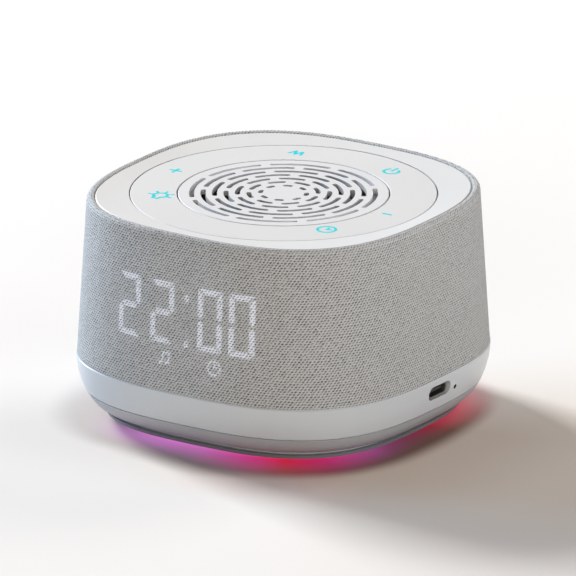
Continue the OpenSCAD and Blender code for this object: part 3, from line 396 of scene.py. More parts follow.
def outline_point(half, power, t):
    """A point of the rounded-square outline, in millimetres, at the parameter t."""
    c, s = math.cos(t), math.sin(t)
    return (
        half * math.copysign(abs(c) ** (2 / power), c),
        half * math.copysign(abs(s) ** (2 / power), s),
    )


def even_steps(half, power, spacing):
    """Parameters round the outline whose points lie the given spacing apart; spacing is a
    function of x and y."""
    fine = 8000
    steps = [0.0]
    gone = 0.0
    last = outline_point(half, power, 0)
    for i in range(1, fine + 1):
        t = 2 * math.pi * i / fine
        here = outline_point(half, power, t)
        gone += math.dist(last, here)
        last = here
        if gone >= spacing(*here) and i < fine - 1:
            steps.append(t)
            gone = 0.0
    return steps


def on_plan(half, z):
    """A half width and a height, with the squareness that the plan has at that height."""
    return half, z, 2.75 + 0.15 * (rim_z - z) / rim_z


def fabric_half(z):
    """Half width of the fabric at a height below its turn."""
    low = base_half - 0.2
    return low + (top_half - low) * (z - band_top_z) / (turn_z - band_top_z)


# Rows of points up the wall as (first height, spacing, rows), closest where the
# clock shows, then over the rolled edge as (inset, rise), and down the inside.
row_bands = ((sleeve_low_z, 0.5, 15), (25.2, 0.22, 113), (50.2, 0.7, 15))
wall_heights = [start + spacing * k for start, spacing, rows in row_bands for k in range(rows)]
rolled_edge = [
    (0, 0), (0.05, 0.5), (0.15, 0.95), (0.34, 1.35), (0.60, 1.65), (0.90, 1.83), (1.20, 1.88),
    (1.50, 1.82),
]
outer_section = (
    [on_plan(fabric_half(z), z) for z in wall_heights]
    + [on_plan(top_half - inset, turn_z + rise) for inset, rise in rolled_edge]
    + [on_plan(rim_half + 0.32, turn_z + 1.65), on_plan(rim_half + 0.08, turn_z + 1.35)]
)
inner_section = [
    on_plan(rim_half + 0.08, turn_z + 0.8),
    on_plan(top_half - 1.1, turn_z + 0.8),
    on_plan(top_half - fabric_t, turn_z),
    on_plan(fabric_half(mid_z) - fabric_t, mid_z),
    on_plan(fabric_half(band_top_z) - fabric_t, sleeve_low_z),
]
sleeve_section = outer_section + inner_section
outer_rows = len(outer_section)

# Columns of points round the outline, closest where the clock shows.
mid_half = 50
mid_power = 2.83
close, open_out = 0.22, 0.42
steps = even_steps(
    mid_half, mid_power, lambda px, py: close if py < 0 and abs(px) < 24 else open_out)
columns = len(steps)

points = [
    tuple(c * MM for c in (*outline_point(half, power, t), z))
    for half, z, power in sleeve_section for t in steps
]
faces = []
for k in range(len(sleeve_section)):
    a, b = k * columns, (k + 1) % len(sleeve_section) * columns
    for i in range(columns):
        j = (i + 1) % columns
        faces.append((a + i, a + j, b + j, b + i))
mesh = bpy.data.meshes.new("fabric_cover")
mesh.from_pydata(points, [], faces)
mesh.update()
mesh.polygons.foreach_set("use_smooth", [True] * len(mesh.polygons))
sleeve = bpy.data.objects.new("fabric_cover", mesh)
bpy.context.scene.collection.objects.link(sleeve)

# How far each column is round the sleeve, and each row up it, for the knit.
stitch = 1.0
course = 0.70
run = [0.0]
for i in range(1, columns + 1):
    run.append(run[-1] + math.dist(
        outline_point(mid_half, mid_power, steps[i - 1]),
        outline_point(mid_half, mid_power, steps[i % columns]),
    ))
stitches = round(run[-1] / stitch)
rise = [0.0]
for a, b in zip(sleeve_section, sleeve_section[1:]):
    rise.append(rise[-1] + math.dist(a[:2], b[:2]))
rise.append(rise[-1] + 1.0)
knit = mesh.uv_layers.new(name="knit")
for polygon in mesh.polygons:
    k, i = divmod(polygon.index, columns)
    corners = ((k, i), (k, i + 1), (k + 1, i + 1), (k + 1, i))
    for corner, (row, column) in zip(polygon.loop_indices, corners):
        knit.data[corner].uv = (run[column] / run[-1] * stitches, rise[row] / course)

# Loops of yarn make the rolled edge uneven.
loop_height = 0.075 * MM
first_rolled = next(k for k, (half, z, power) in enumerate(sleeve_section) if z > turn_z)
for k in range(first_rolled, outer_rows):
    for i in range(columns):
        vertex = mesh.vertices[k * columns + i]
        beat = math.sin(run[i] * 3.9 + 1.1 * k) * math.sin(run[i] * 0.7)
        lift = loop_height * (math.sin(run[i] * 6.3 + 2.4 * k) + 0.8 * beat)
        radius = math.hypot(vertex.co.x, vertex.co.y)
        vertex.co.x += vertex.co.x / radius * lift * 0.8
        vertex.co.y += vertex.co.y / radius * lift * 0.8
        vertex.co.z += lift

# The clock's lit shapes, in millimetres across and up from the middle of the digits.
clock_figures = "2200"
digit_x = (-17.3, -6.15, 9.15, 18.8)
digit_z = 40.0
digit_w, digit_h, segment_w = 7.6, 17.4, 1.62
mitre_gap = 0.28
across_mitre = 0.707
lit_segments = {"2": "ABGED", "0": "ABCDEF"}
far_off = 9.0
colon_x, colon_y = 1.7, (-7.85, 5.1)
colon_half_w, colon_half_h = 0.6, 0.9
icon_y = -12.9
note_x, dial_x = -5.0, 10.85


def digit_distance(px, py, figure):
    """Distance outside the lit segments of a figure, whose segments meet in mitres."""
    half_w, half_h = digit_w / 2, digit_h / 2
    best = far_off
    for letter in lit_segments[figure]:
        if letter == "G":
            overrun = abs(px) + abs(py) - half_w + segment_w / 2 + mitre_gap
            best = min(best, max(abs(py) - segment_w / 2, overrun * across_mitre))
        elif letter in "AD":
            deep = half_h - (py if letter == "A" else -py)
            overrun = abs(px) - half_w + deep + mitre_gap
            best = min(best, max(-deep, deep - segment_w, overrun * across_mitre))
        else:
            deep = half_w - (px if letter in "BC" else -px)
            high = py if letter in "BF" else -py
            overrun = high - half_h + deep + mitre_gap
            short = mitre_gap + abs(deep - segment_w / 2) - high
            best = min(best, max(
                -deep, deep - segment_w, overrun * across_mitre, short * across_mitre))
    return best


def stroke_distance(px, py, ax, ay, bx, by, width):
    """Distance outside a round-ended stroke from a to b."""
    dx, dy = bx - ax, by - ay
    t = max(0, min(1, ((px - ax) * dx + (py - ay) * dy) / max(dx * dx + dy * dy, 1e-9)))
    return math.hypot(px - ax - t * dx, py - ay - t * dy) - width / 2


# Strokes as (from x, from y, to x, to y, width): a pair of notes, and a dial's hands.
note_strokes = (
    (-0.9, -1.3, -0.6, 1.5, 0.55), (1.2, -1.0, 1.5, 1.9, 0.55), (-0.6, 1.5, 1.5, 1.9, 0.7),
    (-1.4, -1.4, -1.2, -1.3, 1.0), (0.6, -1.1, 0.8, -1.0, 1.0),
)
dial_r, dial_line = 1.9, 0.28
dial_hands = ((0, 0, 0, 1.1, 0.5), (0, 0, 0.8, 0.3, 0.5))


def clock_distance(px, py):
    """Distance outside everything that the clock lights."""
    best = far_off
    for cx, figure in zip(digit_x, clock_figures):
        if abs(px - cx) < 6:
            best = min(best, digit_distance(px - cx, py, figure))
    for cy in colon_y:
        best = min(best, max(abs(px - colon_x) - colon_half_w, abs(py - cy) - colon_half_h))
    nx, cx, cy = px - note_x, px - dial_x, py - icon_y
    best = min(best, abs(math.hypot(cx, cy) - dial_r) - dial_line)
    best = min(best, *(stroke_distance(nx, cy, *stroke) for stroke in note_strokes))
    return min(best, *(stroke_distance(cx, cy, *stroke) for stroke in dial_hands))


edge_blur = 0.24
halo_fade = 1.1
clock_y, clock_side, clock_low, clock_high = -40, 26, 22, 53
lit = mesh.attributes.new("clock_light", "FLOAT", "POINT")
lit_halo = mesh.attributes.new("clock_halo", "FLOAT", "POINT")
wall_lean = math.atan2(fabric_half(band_top_z) - fabric_half(turn_z), turn_z - band_top_z)
wall_cos = math.cos(wall_lean)
for index, vertex in enumerate(mesh.vertices):
    px, py, pz = (c / MM for c in vertex.co)
    in_front = py < clock_y and abs(px) < clock_side and clock_low < pz < clock_high
    if in_front and index < outer_rows * columns:
        gap = clock_distance(px, (pz - digit_z) / wall_cos)
        lit.data[index].value = max(0, min(1, 0.5 - gap / edge_blur))
        lit_halo.data[index].value = math.exp(-max(gap, 0) / halo_fade)

# The knit: u counts the loops round the sleeve, and v its courses.
material, tree, shader = new_finish("fabric_knit")
knit_place = node(tree, "UVMap", uv_map="knit").outputs[0]
wobble = node(tree, "TexNoise", in_Vector=knit_place, in_Scale=0.55, in_Detail=2.0)
even = node(tree, "SeparateXYZ", in_0=knit_place).outputs
drift = node(tree, "SeparateXYZ", in_0=wobble.outputs["Color"]).outputs
drift_reach = 0.35
u, v = (
    calc(tree, "ADD", even[k], times(tree, calc(tree, "SUBTRACT", drift[k], 0.5), drift_reach))
    for k in (0, 1)
)
slit_lean = (0.88, 0.47)


def leaned(side, rise):
    """Places along and beside a line that leans up to the right."""
    c, s = slit_lean
    return (
        calc(tree, "MULTIPLY_ADD", rise, s, times(tree, side, c)),
        calc(tree, "MULTIPLY_ADD", rise, c, times(tree, side, -s)),
    )


# Each gap between yarns is a short slit that leans up to the right, on a lattice
# that sets each course half a loop over. No two are alike: each slit has its own
# place, length and width.
one = calc(tree, "MULTIPLY_ADD", v, 0.5, u)
two = calc(tree, "MULTIPLY_ADD", v, -0.5, u)
one_off = calc(tree, "SUBTRACT", one, calc(tree, "ROUND", one))
two_off = calc(tree, "SUBTRACT", two, calc(tree, "ROUND", two))
across = times(tree, calc(tree, "ADD", one_off, two_off), 0.5)
upward = times(tree, calc(tree, "SUBTRACT", one_off, two_off), course)
along, beside = leaned(across, upward)
spot = node(tree, "CombineXYZ", in_0=calc(tree, "ROUND", one), in_1=calc(tree, "ROUND", two))
cell = node(tree, "TexWhiteNoise", noise_dimensions="2D", in_0=spot.outputs[0])
chance = node(tree, "SeparateXYZ", in_0=cell.outputs["Color"]).outputs
along = calc(tree, "ADD", along, calc(tree, "MULTIPLY_ADD", chance[0], 0.22, -0.11))
beside = calc(tree, "ADD", beside, calc(tree, "MULTIPLY_ADD", chance[1], 0.16, -0.08))
slit_long = calc(tree, "MULTIPLY_ADD", chance[2], 0.17, 0.22)
slit_wide = calc(tree, "MULTIPLY_ADD", chance[0], 0.06, 0.105)
slit = calc(
    tree, "ADD",
    calc(tree, "POWER", calc(tree, "DIVIDE", along, slit_long), 2),
    calc(tree, "POWER", calc(tree, "DIVIDE", beside, slit_wide), 2))
crown = smooth_step(tree, slit, 1.2, 5.0)
pit = smooth_step(tree, slit, 1.9, 0.25)
pit_level = calc(tree, "MULTIPLY_ADD", chance[1], 0.7, 0.5)
pit_depth = calc(tree, "MULTIPLY", pit, pit_level, clamp=True)
# The rolled edge is stretched open and fuzzier, so its gaps are shallow. Its yarn is also
# painted lighter: a painted highlight where its top catches the lamps.
x, y, z, turn = around(tree)
roll = smooth_step(tree, z, (turn_z + 0.2) * MM, (turn_z + 1.6) * MM)
pit_depth = times(tree, pit_depth, calc(tree, "MULTIPLY_ADD", roll, -0.3, 1.0))

# Strands of the yarn run the way that the slits lean.
strand_along, strand_beside = leaned(u, v)
strand = node(tree, "CombineXYZ", in_0=strand_along, in_1=times(tree, strand_beside, 3.2))
yarn = node(tree, "TexNoise", in_Vector=strand.outputs[0], in_Scale=2.3, in_Detail=3.0)
strand_light = smooth_step(tree, yarn.outputs["Fac"], 0.32, 0.68)
broad = node(tree, "TexNoise", in_Vector=knit_place, in_Scale=0.05, in_Detail=2.0)
dark_yarn, light_yarn = (0.225, 0.22, 0.21), (0.605, 0.597, 0.582)
crown_highlight, shaded_yarn = (0.80, 0.79, 0.775), (0.42, 0.405, 0.38)
roll_highlight, gap_dark = (0.80, 0.795, 0.80), (0.075, 0.073, 0.07)
fabric_colour = mix_colours(tree, strand_light, dark_yarn, light_yarn)
# Painted highlights: the yarns' crowns away from the gaps are painted lighter, and so is the
# rolled edge; broad patches get a darker tone at random.
for share, level, colour in (
    (crown, 0.45, crown_highlight), (broad.outputs["Fac"], 0.25, shaded_yarn), (roll, 0.45, roll_highlight),
):
    fabric_colour = mix_colours(tree, times(tree, share, level), fabric_colour, colour)
fabric_colour = mix_colours(tree, pit_depth, fabric_colour, gap_dark)
tree.links.new(fabric_colour, shader.inputs["Base Color"])
shader.inputs["Roughness"].default_value = 0.85
shader.inputs["Specular IOR Level"].default_value = 0.2
shader.inputs["Sheen Weight"].default_value = 0.3
shader.inputs["Sheen Tint"].default_value = (0.80, 0.90, 1.0, 1)
shader.inputs["Sheen Roughness"].default_value = 0.5
height = calc(tree, "SUBTRACT", times(tree, strand_light, 0.35), pit_depth)
bump = node(tree, "Bump", in_Strength=0.65, in_Distance=0.28 * MM, in_Height=height)
tree.links.new(bump.outputs[0], shader.inputs["Normal"])

# The clock shines through the yarn, and less through the gaps' shaded walls.
lit_share = node(tree, "Attribute", attribute_name="clock_light").outputs["Fac"]
halo_share = node(tree, "Attribute", attribute_name="clock_halo").outputs["Fac"]
light = calc(tree, "ADD", times(tree, lit_share, 0.30), times(tree, halo_share, 0.03))
yarn_glow = calc(tree, "MULTIPLY_ADD", strand_light, 0.5, 0.75)
light = times(tree, light, calc(tree, "MULTIPLY_ADD", pit_depth, -0.8, yarn_glow))
shader.inputs["Emission Color"].default_value = (0.80, 0.84, 1.0, 1)
tree.links.new(light, shader.inputs["Emission Strength"])
mesh.materials.append(material)
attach(sleeve, "housing")
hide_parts("fabric_sleeve")


# ---- Clock display ----
# Behind the fabric: an opal film, a white reflector with a well for each segment,
# and a board of lamps that is screwed to the inner shell.
def metal(name, colour, roughness=0.3, lines=(400.0, 400.0, 12.0)):
    """Plated or ground metal: fine drawn lines that break up the gloss."""
    material, tree, shader = new_finish(name)
    place = node(tree, "TexCoord").outputs["Object"]
    stretched = node(tree, "Mapping", in_Vector=place, in_Scale=lines).outputs[0]
    drawn = node(tree, "TexNoise", in_Vector=stretched, in_Scale=4.0, in_Detail=4.0).outputs["Fac"]
    darker = tuple(c * 0.85 for c in colour)
    tree.links.new(mix_colours(tree, drawn, darker, colour), shader.inputs["Base Color"])
    rough = node(tree, "MapRange", in_0=drawn, in_3=roughness - 0.08, in_4=roughness + 0.12)
    tree.links.new(rough.outputs[0], shader.inputs["Roughness"])
    shader.inputs["Metallic"].default_value = 1.0
    bump = node(tree, "Bump", in_Strength=0.15, in_Distance=0.02 * MM, in_Height=drawn)
    tree.links.new(bump.outputs[0], shader.inputs["Normal"])
    return material


def board(name, mask, copper):
    """A printed board: copper tracks show through the solder mask."""
    material, tree, shader = new_finish(name)
    place = node(tree, "TexCoord").outputs["Object"]
    tracks = node(tree, "TexBrick", in_Vector=place, in_Scale=160.0, in_Mortar_Size=0.06)
    dots = node(tree, "TexVoronoi", in_Vector=place, in_Scale=330.0)
    via = calc(tree, "LESS_THAN", dots.outputs["Distance"], 0.16)
    over_copper = tuple(c * 1.7 for c in mask)
    masked = mix_colours(tree, tracks.outputs["Fac"], mask, over_copper)
    tree.links.new(mix_colours(tree, via, masked, copper), shader.inputs["Base Color"])
    shader.inputs["Roughness"].default_value = 0.3
    bump = node(
        tree, "Bump", in_Strength=0.2, in_Distance=0.03 * MM, in_Height=tracks.outputs["Fac"])
    tree.links.new(bump.outputs[0], shader.inputs["Normal"])
    return material


screw_metal = metal("screw_metal", (0.55, 0.56, 0.58), 0.28)
green_board = board("green_board", (0.02, 0.13, 0.06), (0.55, 0.45, 0.20))
lamp_lens = moulded("lamp_lens", (0.85, 0.82, 0.60), 0.2, 0.05, 0.05, 0.3)
dress("display_film", moulded("diffuser_film", (0.78, 0.78, 0.82), 0.6, 0.05, 0.02))
dress("display_reflector", moulded("reflector_plastic", (0.80, 0.80, 0.78), 0.5, 0.05, 0.03))
dress("display_board", green_board)
dress("display_leds", lamp_lens)
dress("display_screws", screw_metal)


# ---- Loudspeaker ----
# A moving-coil loudspeaker that faces up. Its basket, plates and ferrite magnet are
# glued in a stack. The copper coil moves in the magnet's gap, and its former, the
# paper cone and the cap move with it.
def rubbery(name, colour, roughness=0.75, scale=900.0):
    """Rubber, foam, paper or soft PVC: fine pores and a dusty unevenness."""
    material, tree, shader = new_finish(name)
    place = node(tree, "TexCoord").outputs["Object"]
    pores = node(tree, "TexVoronoi", in_Vector=place, in_Scale=scale).outputs["Distance"]
    dust = node(tree, "TexNoise", in_Vector=place, in_Scale=90.0, in_Detail=4.0).outputs["Fac"]
    darker = tuple(c * 0.8 for c in colour)
    lighter = tuple(min(1, c * 1.25) for c in colour)
    tree.links.new(mix_colours(tree, dust, darker, lighter), shader.inputs["Base Color"])
    shader.inputs["Roughness"].default_value = roughness
    bump = node(tree, "Bump", in_Strength=0.3, in_Distance=0.05 * MM, in_Height=pores)
    tree.links.new(bump.outputs[0], shader.inputs["Normal"])
    return material


zinc = metal("zinc_plate", (0.48, 0.49, 0.51), 0.35)
cone_paper = rubbery("cone_paper", (0.028, 0.028, 0.031), 0.7, 500.0)
dress("speaker_basket", moulded("basket_paint", (0.03, 0.03, 0.032), 0.4, 0.4, 0.1))
dress("speaker_yoke", zinc)
dress("speaker_front_plate", zinc)
dress("speaker_magnet", rubbery("ferrite", (0.05, 0.05, 0.055), 0.55, 2000.0))
dress("coil_former", moulded("amber_film", (0.45, 0.20, 0.06), 0.25, 0.02, 0.1, 0.3))
dress("voice_coil", metal("coil_wire", (0.55, 0.20, 0.08), 0.3, (10.0, 10.0, 900.0)))
dress("speaker_cone", cone_paper)
dress("dust_cap", cone_paper)
dress("speaker_gasket", rubbery("gasket_foam", (0.42, 0.42, 0.42), 0.9, 1200.0))
dress("speaker_terminals", metal("tinned_tags", (0.60, 0.50, 0.22), 0.3))

# ---- Surround and spider ----
# The rubber half-roll round the cone and the corrugated cloth disc on the coil
# former. Both are glued to the basket outside and to the moving parts inside, and
# each is made in sectors.
sectors = 16
slices = 5


def springy_ring(name, section, material):
    """A ring with the closed section, a list of (radius, height), in sectors of closed mesh."""
    count = len(section)
    for k in range(sectors):
        points = []
        for i in range(slices + 1):
            a = 2 * math.pi * (k + i / slices) / sectors
            points += [(r * math.cos(a) * MM, r * math.sin(a) * MM, z * MM) for r, z in section]
        faces = [tuple(range(count - 1, -1, -1)), tuple(slices * count + j for j in range(count))]
        for i in range(slices):
            for j in range(count):
                n = (j + 1) % count
                a, b = i * count, (i + 1) * count
                faces.append((a + j, a + n, b + n, b + j))
        mesh = bpy.data.meshes.new(f"{name}_{k + 1}")
        mesh.from_pydata(points, [], faces)
        mesh.update()
        mesh.polygons.foreach_set("use_smooth", [len(p.vertices) == 4 for p in mesh.polygons])
        mesh.materials.append(material)
        sector = bpy.data.objects.new(f"{name}_{k + 1}", mesh)
        bpy.context.scene.collection.objects.link(sector)
        a = 2 * math.pi * (k + 0.5) / sectors
        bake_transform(sector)
        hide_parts(name)


# A half-roll of rubber with a flat glued rim outside it.
roll_out = 23.4
roll_in = 19.65
roll_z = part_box("surround")[0][2] / MM
roll_t = 0.35
glued_rim = 1.6
rim_t = 0.3
rim_step = 0.03
arc_steps = 16
roll_r = (roll_out - roll_in) / 2
roll_mid = (roll_out + roll_in) / 2
arc = [math.pi * i / arc_steps for i in range(arc_steps + 1)]


def roll_point(r, a):
    """A point of the half-roll's section at a radius and an angle."""
    return roll_mid + r * math.cos(a), roll_z + r * math.sin(a)


roll_section = (
    [roll_point(-roll_r, -a) for a in arc[:-1]]
    + [(roll_out - rim_step, roll_z + rim_t), (roll_out + glued_rim, roll_z + rim_t),
       (roll_out + glued_rim, roll_z)]
    + [roll_point(roll_r - roll_t, a) for a in arc]
)
springy_ring(
    "surround", roll_section,
    rubbery("surround_rubber", (0.025, 0.025, 0.027), 0.6))

# Four waves of treated cloth inside a flat glued rim.
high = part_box("spider")[1]
cloth_in = 7.05
cloth_out = high[0] / MM
cloth_flat = 2.4
cloth_waves = 4
wave_high = 0.35
wave_steps = 28
cloth_half = 0.15
cloth_rim_t = 0.4
cloth_middle = high[2] / MM - wave_high - cloth_half
wave_reach = cloth_out - cloth_flat - cloth_in
waves = [
    (cloth_in + wave_reach * i / wave_steps,
     cloth_middle + wave_high * math.sin(2 * math.pi * cloth_waves * i / wave_steps))
    for i in range(wave_steps + 1)
]
cloth_section = (
    [(r, z - cloth_half) for r, z in waves]
    + [(cloth_out, cloth_middle - cloth_rim_t), (cloth_out, cloth_middle)]
    + [(r, z + cloth_half) for r, z in reversed(waves)]
)
springy_ring(
    "spider", cloth_section,
    rubbery("spider_cloth", (0.52, 0.34, 0.10), 0.9, 1500.0))

# ---- Key board ----
# The ring-shaped board under the keys, screwed to the deck, with six tact switches
# in black housings, their red plungers, and the lamps that light the marks.
black_plastic = moulded("black_plastic", (0.02, 0.02, 0.022), 0.4, 0.2, 0.1)
dress("key_board", green_board)
dress("tact_switches", black_plastic)
dress("switch_plungers", moulded("plunger_plastic", (0.30, 0.04, 0.04), 0.4))
dress("key_leds", lamp_lens)
dress("key_board_screws", screw_metal)


# ---- Top plate ----
# The white moulding round the keys, held by screws from below: its hole is round,
# its edge follows the sleeve, and it rises a little to the rim.
def paint_over(material, share, colour):
    """Lays a colour over the body colour of a moulding, by a share that varies over it."""
    tree = material.node_tree
    shader = tree.nodes["Principled BSDF"]
    under = shader.inputs["Base Color"].links[0].from_socket
    tree.links.new(mix_colours(tree, share, under, colour), shader.inputs["Base Color"])


def shade_walls(material, colour):
    """Tints the faces of a moulding that turn away from straight up, as gaps are in shade."""
    tree = material.node_tree
    normal = node(tree, "NewGeometry").outputs["Normal"]
    upright = node(tree, "SeparateXYZ", in_0=normal).outputs[2]
    flat, leaning = 0.985, 0.90
    paint_over(material, smooth_step(tree, upright, flat, leaning), colour)


white_plastic = moulded("white_plastic", (0.81, 0.803, 0.79), 0.55, 0.10, 0.02)
# Painted shade on the plate's faces that turn from straight up: its edges and gap walls.
shade_walls(white_plastic, (0.60, 0.60, 0.61))
dress("top_plate", white_plastic)
dress("deck_screws", screw_metal)

# ---- Key ring and its marks ----
# One floating ring of white plastic works six keys. Its marks are cut through the
# paint down to clear guides, set into the ring from below and lit in cyan.
key_plastic = moulded("key_plastic", (0.795, 0.788, 0.775), 0.55, 0.08, 0.02)
# Painted shade on the ring's faces that turn from straight up: its edges and gap walls.
shade_walls(key_plastic, (0.62, 0.62, 0.63))
dress("key_ring", key_plastic)
dress("icon_guides", moulded("clear_guide", (0.45, 0.85, 0.88), 0.12, 0.02, 0.03, 0.4))


def flat_stroke(points, width):
    """A flat line of the given width through points, as four-cornered shapes."""
    made = []
    for (ax, ay), (bx, by) in zip(points, points[1:]):
        length = math.hypot(bx - ax, by - ay)
        nx, ny = -(by - ay) / length * width / 2, (bx - ax) / length * width / 2
        ex, ey = (bx - ax) / length * width * 0.4, (by - ay) / length * width * 0.4
        made.append([
            (ax - ex + nx, ay - ey + ny), (ax - ex - nx, ay - ey - ny),
            (bx + ex - nx, by + ey - ny), (bx + ex + nx, by + ey + ny),
        ])
    return made


def flat_arc(cx, cy, r, start, end, width):
    """A flat arc, in degrees, as four-cornered shapes."""
    steps = 28
    inner, outer = r - width / 2, r + width / 2
    made = []
    for i in range(steps):
        a = math.radians(start + (end - start) * i / steps)
        b = math.radians(start + (end - start) * (i + 1) / steps)
        corners = ((inner, a), (outer, a), (outer, b), (inner, b))
        made.append([(cx + r * math.cos(t), cy + r * math.sin(t)) for r, t in corners])
    return made


mark_lift = 0.012
mark_z = face_z + mark_lift
line = 0.8
# A plain wave for the sound key.
wave_x, wave_y = -16.2, 31.1
marks = [[(x + wave_x, y + wave_y) for x, y in quad] for quad in flat_stroke(
    [(-1.9, -1.2), (-1.0, 1.3), (0, -1.3), (1.0, 1.3), (1.9, -1.2)], line)]
# Power, louder and softer.
power_x, power_y = 14.0, 31.8
plus_x, plus_half = -35.1, 1.6
minus_x, minus_half = 33.5, 1.2
marks += flat_arc(power_x, power_y, 2.1, 125, 415, line)
marks += flat_stroke([(power_x, power_y + 0.2), (power_x, power_y + 2.9)], line)
marks += flat_stroke([(plus_x - plus_half, 0), (plus_x + plus_half, 0)], line)
marks += flat_stroke([(plus_x, -plus_half), (plus_x, plus_half)], line)
marks += flat_stroke([(minus_x - minus_half, 0), (minus_x + minus_half, 0)], line)
# A lamp with rays.
bulb_x, bulb_y = -26.6, -20.6
marks += flat_arc(bulb_x, bulb_y + 0.5, 1.9, -50, 230, line)
marks += flat_stroke([(bulb_x - 1.0, bulb_y - 0.9), (bulb_x - 0.8, bulb_y - 2.3),
                      (bulb_x + 0.8, bulb_y - 2.3), (bulb_x + 1.0, bulb_y - 0.9)], line)
for angle in (-8, 41, 90, 139, 188):
    c, s = math.cos(math.radians(angle)), math.sin(math.radians(angle))
    marks += flat_stroke([(bulb_x + r * c, bulb_y + 0.5 + r * s) for r in (2.6, 3.5)], line * 0.85)
# A timer's dial and hands.
timer_x, timer_y = 27.2, -20.0
marks += flat_arc(timer_x, timer_y, 2.5, 0, 360, line)
marks += flat_stroke([(timer_x, timer_y + 1.4), (timer_x, timer_y),
                      (timer_x + 1.3, timer_y + 0.2)], line * 0.9)

mesh = bpy.data.meshes.new("key_marks")
mesh.from_pydata(
    [(x * MM, y * MM, mark_z * MM) for quad in marks for x, y in quad],
    [], [tuple(range(4 * k, 4 * k + 4)) for k in range(len(marks))])
mark_piece = bpy.data.objects.new("key_marks", mesh)
bpy.context.scene.collection.objects.link(mark_piece)
material, tree, shader = new_finish("mark_cyan")
shader.inputs["Base Color"].default_value = (0.0, 0.12, 0.14, 1)
shader.inputs["Emission Color"].default_value = (0.0, 0.66, 0.72, 1)
shader.inputs["Emission Strength"].default_value = 0.85
mesh.materials.append(material)
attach(mark_piece, "keys")

# ---- Grille ----
# A white plastic disc with seven rings of slots over the loudspeaker; its skirt
# snaps through the deck on three legs. Painted shade darkens the slots' walls, more
# to the middle.
grille_plastic = moulded("grille_plastic", (0.815, 0.807, 0.805), 0.55, 0.08, 0.02)
inner_wall, outer_wall, rim_wall = (0.44, 0.44, 0.45), (0.66, 0.66, 0.67), (0.62, 0.62, 0.63)
tree = grille_plastic.node_tree
x, y, z, turn = around(tree)
from_middle = calc(tree, "SQRT", calc(tree, "ADD", times(tree, x, x), times(tree, y, y)))
outer = smooth_step(tree, from_middle, 19 * MM, 25 * MM)
wall_colour = mix_colours(tree, outer, inner_wall, outer_wall)
rim = smooth_step(tree, from_middle, 27.9 * MM, 28.2 * MM)
shade_walls(grille_plastic, mix_colours(tree, rim, wall_colour, rim_wall))
dress("grille", grille_plastic)

# ---- Main board, inlet and reset switch ----
# The green board on the pan's posts, with black chips and nylon sockets. The steel
# inlet with its black tongue and the reset switch are soldered at its edge, behind
# the openings of the base ring.
dress("main_board", green_board)
dress("board_chips", black_plastic)
dress("board_connectors", moulded("cream_nylon", (0.80, 0.77, 0.66), 0.45, 0.1, 0.05))
dress("board_screws", screw_metal)
dress("usb_c_shell", metal("inlet_steel", (0.34, 0.31, 0.29), 0.42, (12.0, 400.0, 400.0)))
dress("usb_c_tongue", black_plastic)
dress("reset_switch", black_plastic)
dress("reset_plunger", black_plastic)

# ---- Battery, ribbons and leads ----
# A round cell in a blue sleeve lies on a foam pad. Film ribbons join the boards,
# and two leads in soft PVC run from the cell and to the loudspeaker.
ribbon_film = moulded("ribbon_film", (0.64, 0.60, 0.50), 0.35, 0.05, 0.05, 0.2)
dress("battery_cell", moulded("cell_sleeve", (0.03, 0.16, 0.38), 0.25, 0.04, 0.05, 0.3))
dress("battery_pad", rubbery("pad_foam", (0.08, 0.08, 0.085), 0.9, 1200.0))
dress("key_ribbon", ribbon_film)
dress("display_ribbon", ribbon_film)
dress("light_ribbon", ribbon_film)
dress("battery_lead", rubbery("red_lead", (0.42, 0.02, 0.02), 0.45, 300.0))
dress("speaker_lead", rubbery("black_lead", (0.02, 0.02, 0.022), 0.45, 300.0))
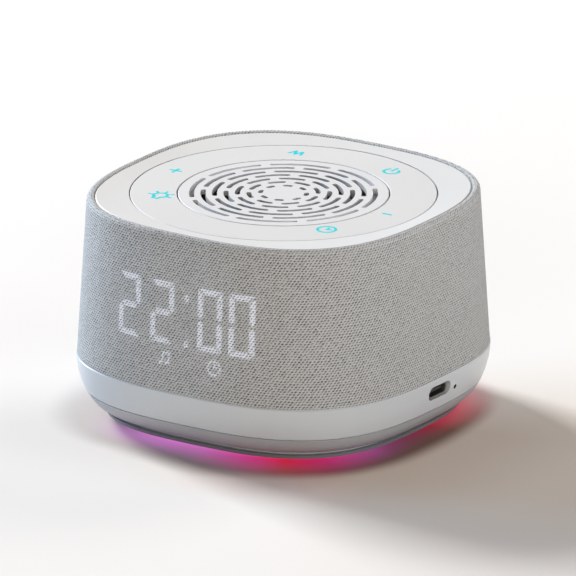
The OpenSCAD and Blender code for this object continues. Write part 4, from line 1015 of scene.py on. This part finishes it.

# ---- Base ring ----
# A satin grey moulding under the fabric, with the cut-out for the inlet and the
# reset pinhole, whose bore is painted near black as painted shade. It seats over a
# spigot of the pan.
grey_plastic = moulded("grey_plastic", (0.575, 0.595, 0.61), 0.36, 0.06, 0.03, 0.12)
pinhole_y, pinhole_z, pinhole_r = 7.9 * MM, 13.1 * MM, 0.66 * MM
tree = grey_plastic.node_tree
x, y, z, turn = around(tree)
off_y, off_z = (
    calc(tree, "POWER", calc(tree, "ABSOLUTE", calc(tree, "SUBTRACT", place, middle)), 2)
    for place, middle in ((y, pinhole_y), (z, pinhole_z))
)
in_bore = calc(tree, "LESS_THAN", calc(tree, "SQRT", calc(tree, "ADD", off_y, off_z)), pinhole_r)
in_bore = times(tree, in_bore, calc(tree, "GREATER_THAN", x, 0.0))
# Painted shade in the pinhole's bore.
paint_over(grey_plastic, in_bore, (0.02, 0.02, 0.02))
dress("base_ring", grey_plastic)

# ---- Base pan ----
# The lower grey moulding, which curves in under the ring from a fine seam to a
# shadow groove and a thin lip. Its top at the seam is painted pale, painted light that
# lifts the seam's shade, and the lip's edge is painted darker than the wall as
# painted shade.
pan_plastic = moulded("pan_plastic", (0.44, 0.452, 0.465), 0.38, 0.06, 0.03, 0.10)
seam_z = 8.6 * MM
lip_low, lip_top = 2.35 * MM, 2.6 * MM
tree = pan_plastic.node_tree
x, y, z, turn = around(tree)
# Painted light: the pan's top at the seam is painted pale.
in_seam = smooth_step(tree, z, seam_z - 0.16 * MM, seam_z - 0.08 * MM)
paint_over(pan_plastic, in_seam, (0.90, 0.90, 0.91))
# Painted shade: the lip's edge is painted dark.
paint_over(pan_plastic, smooth_step(tree, z, lip_top, lip_low), (0.19, 0.195, 0.205))
dress("base_pan", pan_plastic)

# ---- Light ring ----
# An opal plastic ring on a ledge of the pan spreads the light of the coloured lamps,
# which sit on a white ring-shaped board above it.
material, tree, shader = new_finish("opal_lit")
x, y, z, turn = around(tree)
opal_glow = colours_round(tree, turn, light_colours)
shader.inputs["Base Color"].default_value = (0.8, 0.78, 0.8, 1)
tree.links.new(opal_glow, shader.inputs["Emission Color"])
shader.inputs["Emission Strength"].default_value = 0.7
shader.inputs["Roughness"].default_value = 0.35
dress("light_ring", material)
dress("light_board", board("white_board", (0.50, 0.50, 0.48), (0.62, 0.52, 0.30)))
dress("light_leds", lamp_lens)

# ---- Foot plate, feet and screws ----
# The grey moulded plate that closes the base, the rubber feet set into its
# recesses, and the long screws that hold plate, pan and shell together.
dress("foot_plate", moulded("foot_plate_plastic", (0.27, 0.28, 0.29), 0.55, 0.25, 0.05))
dress("rubber_feet", rubbery("foot_rubber", (0.10, 0.10, 0.11)))
dress("housing_screws", screw_metal)
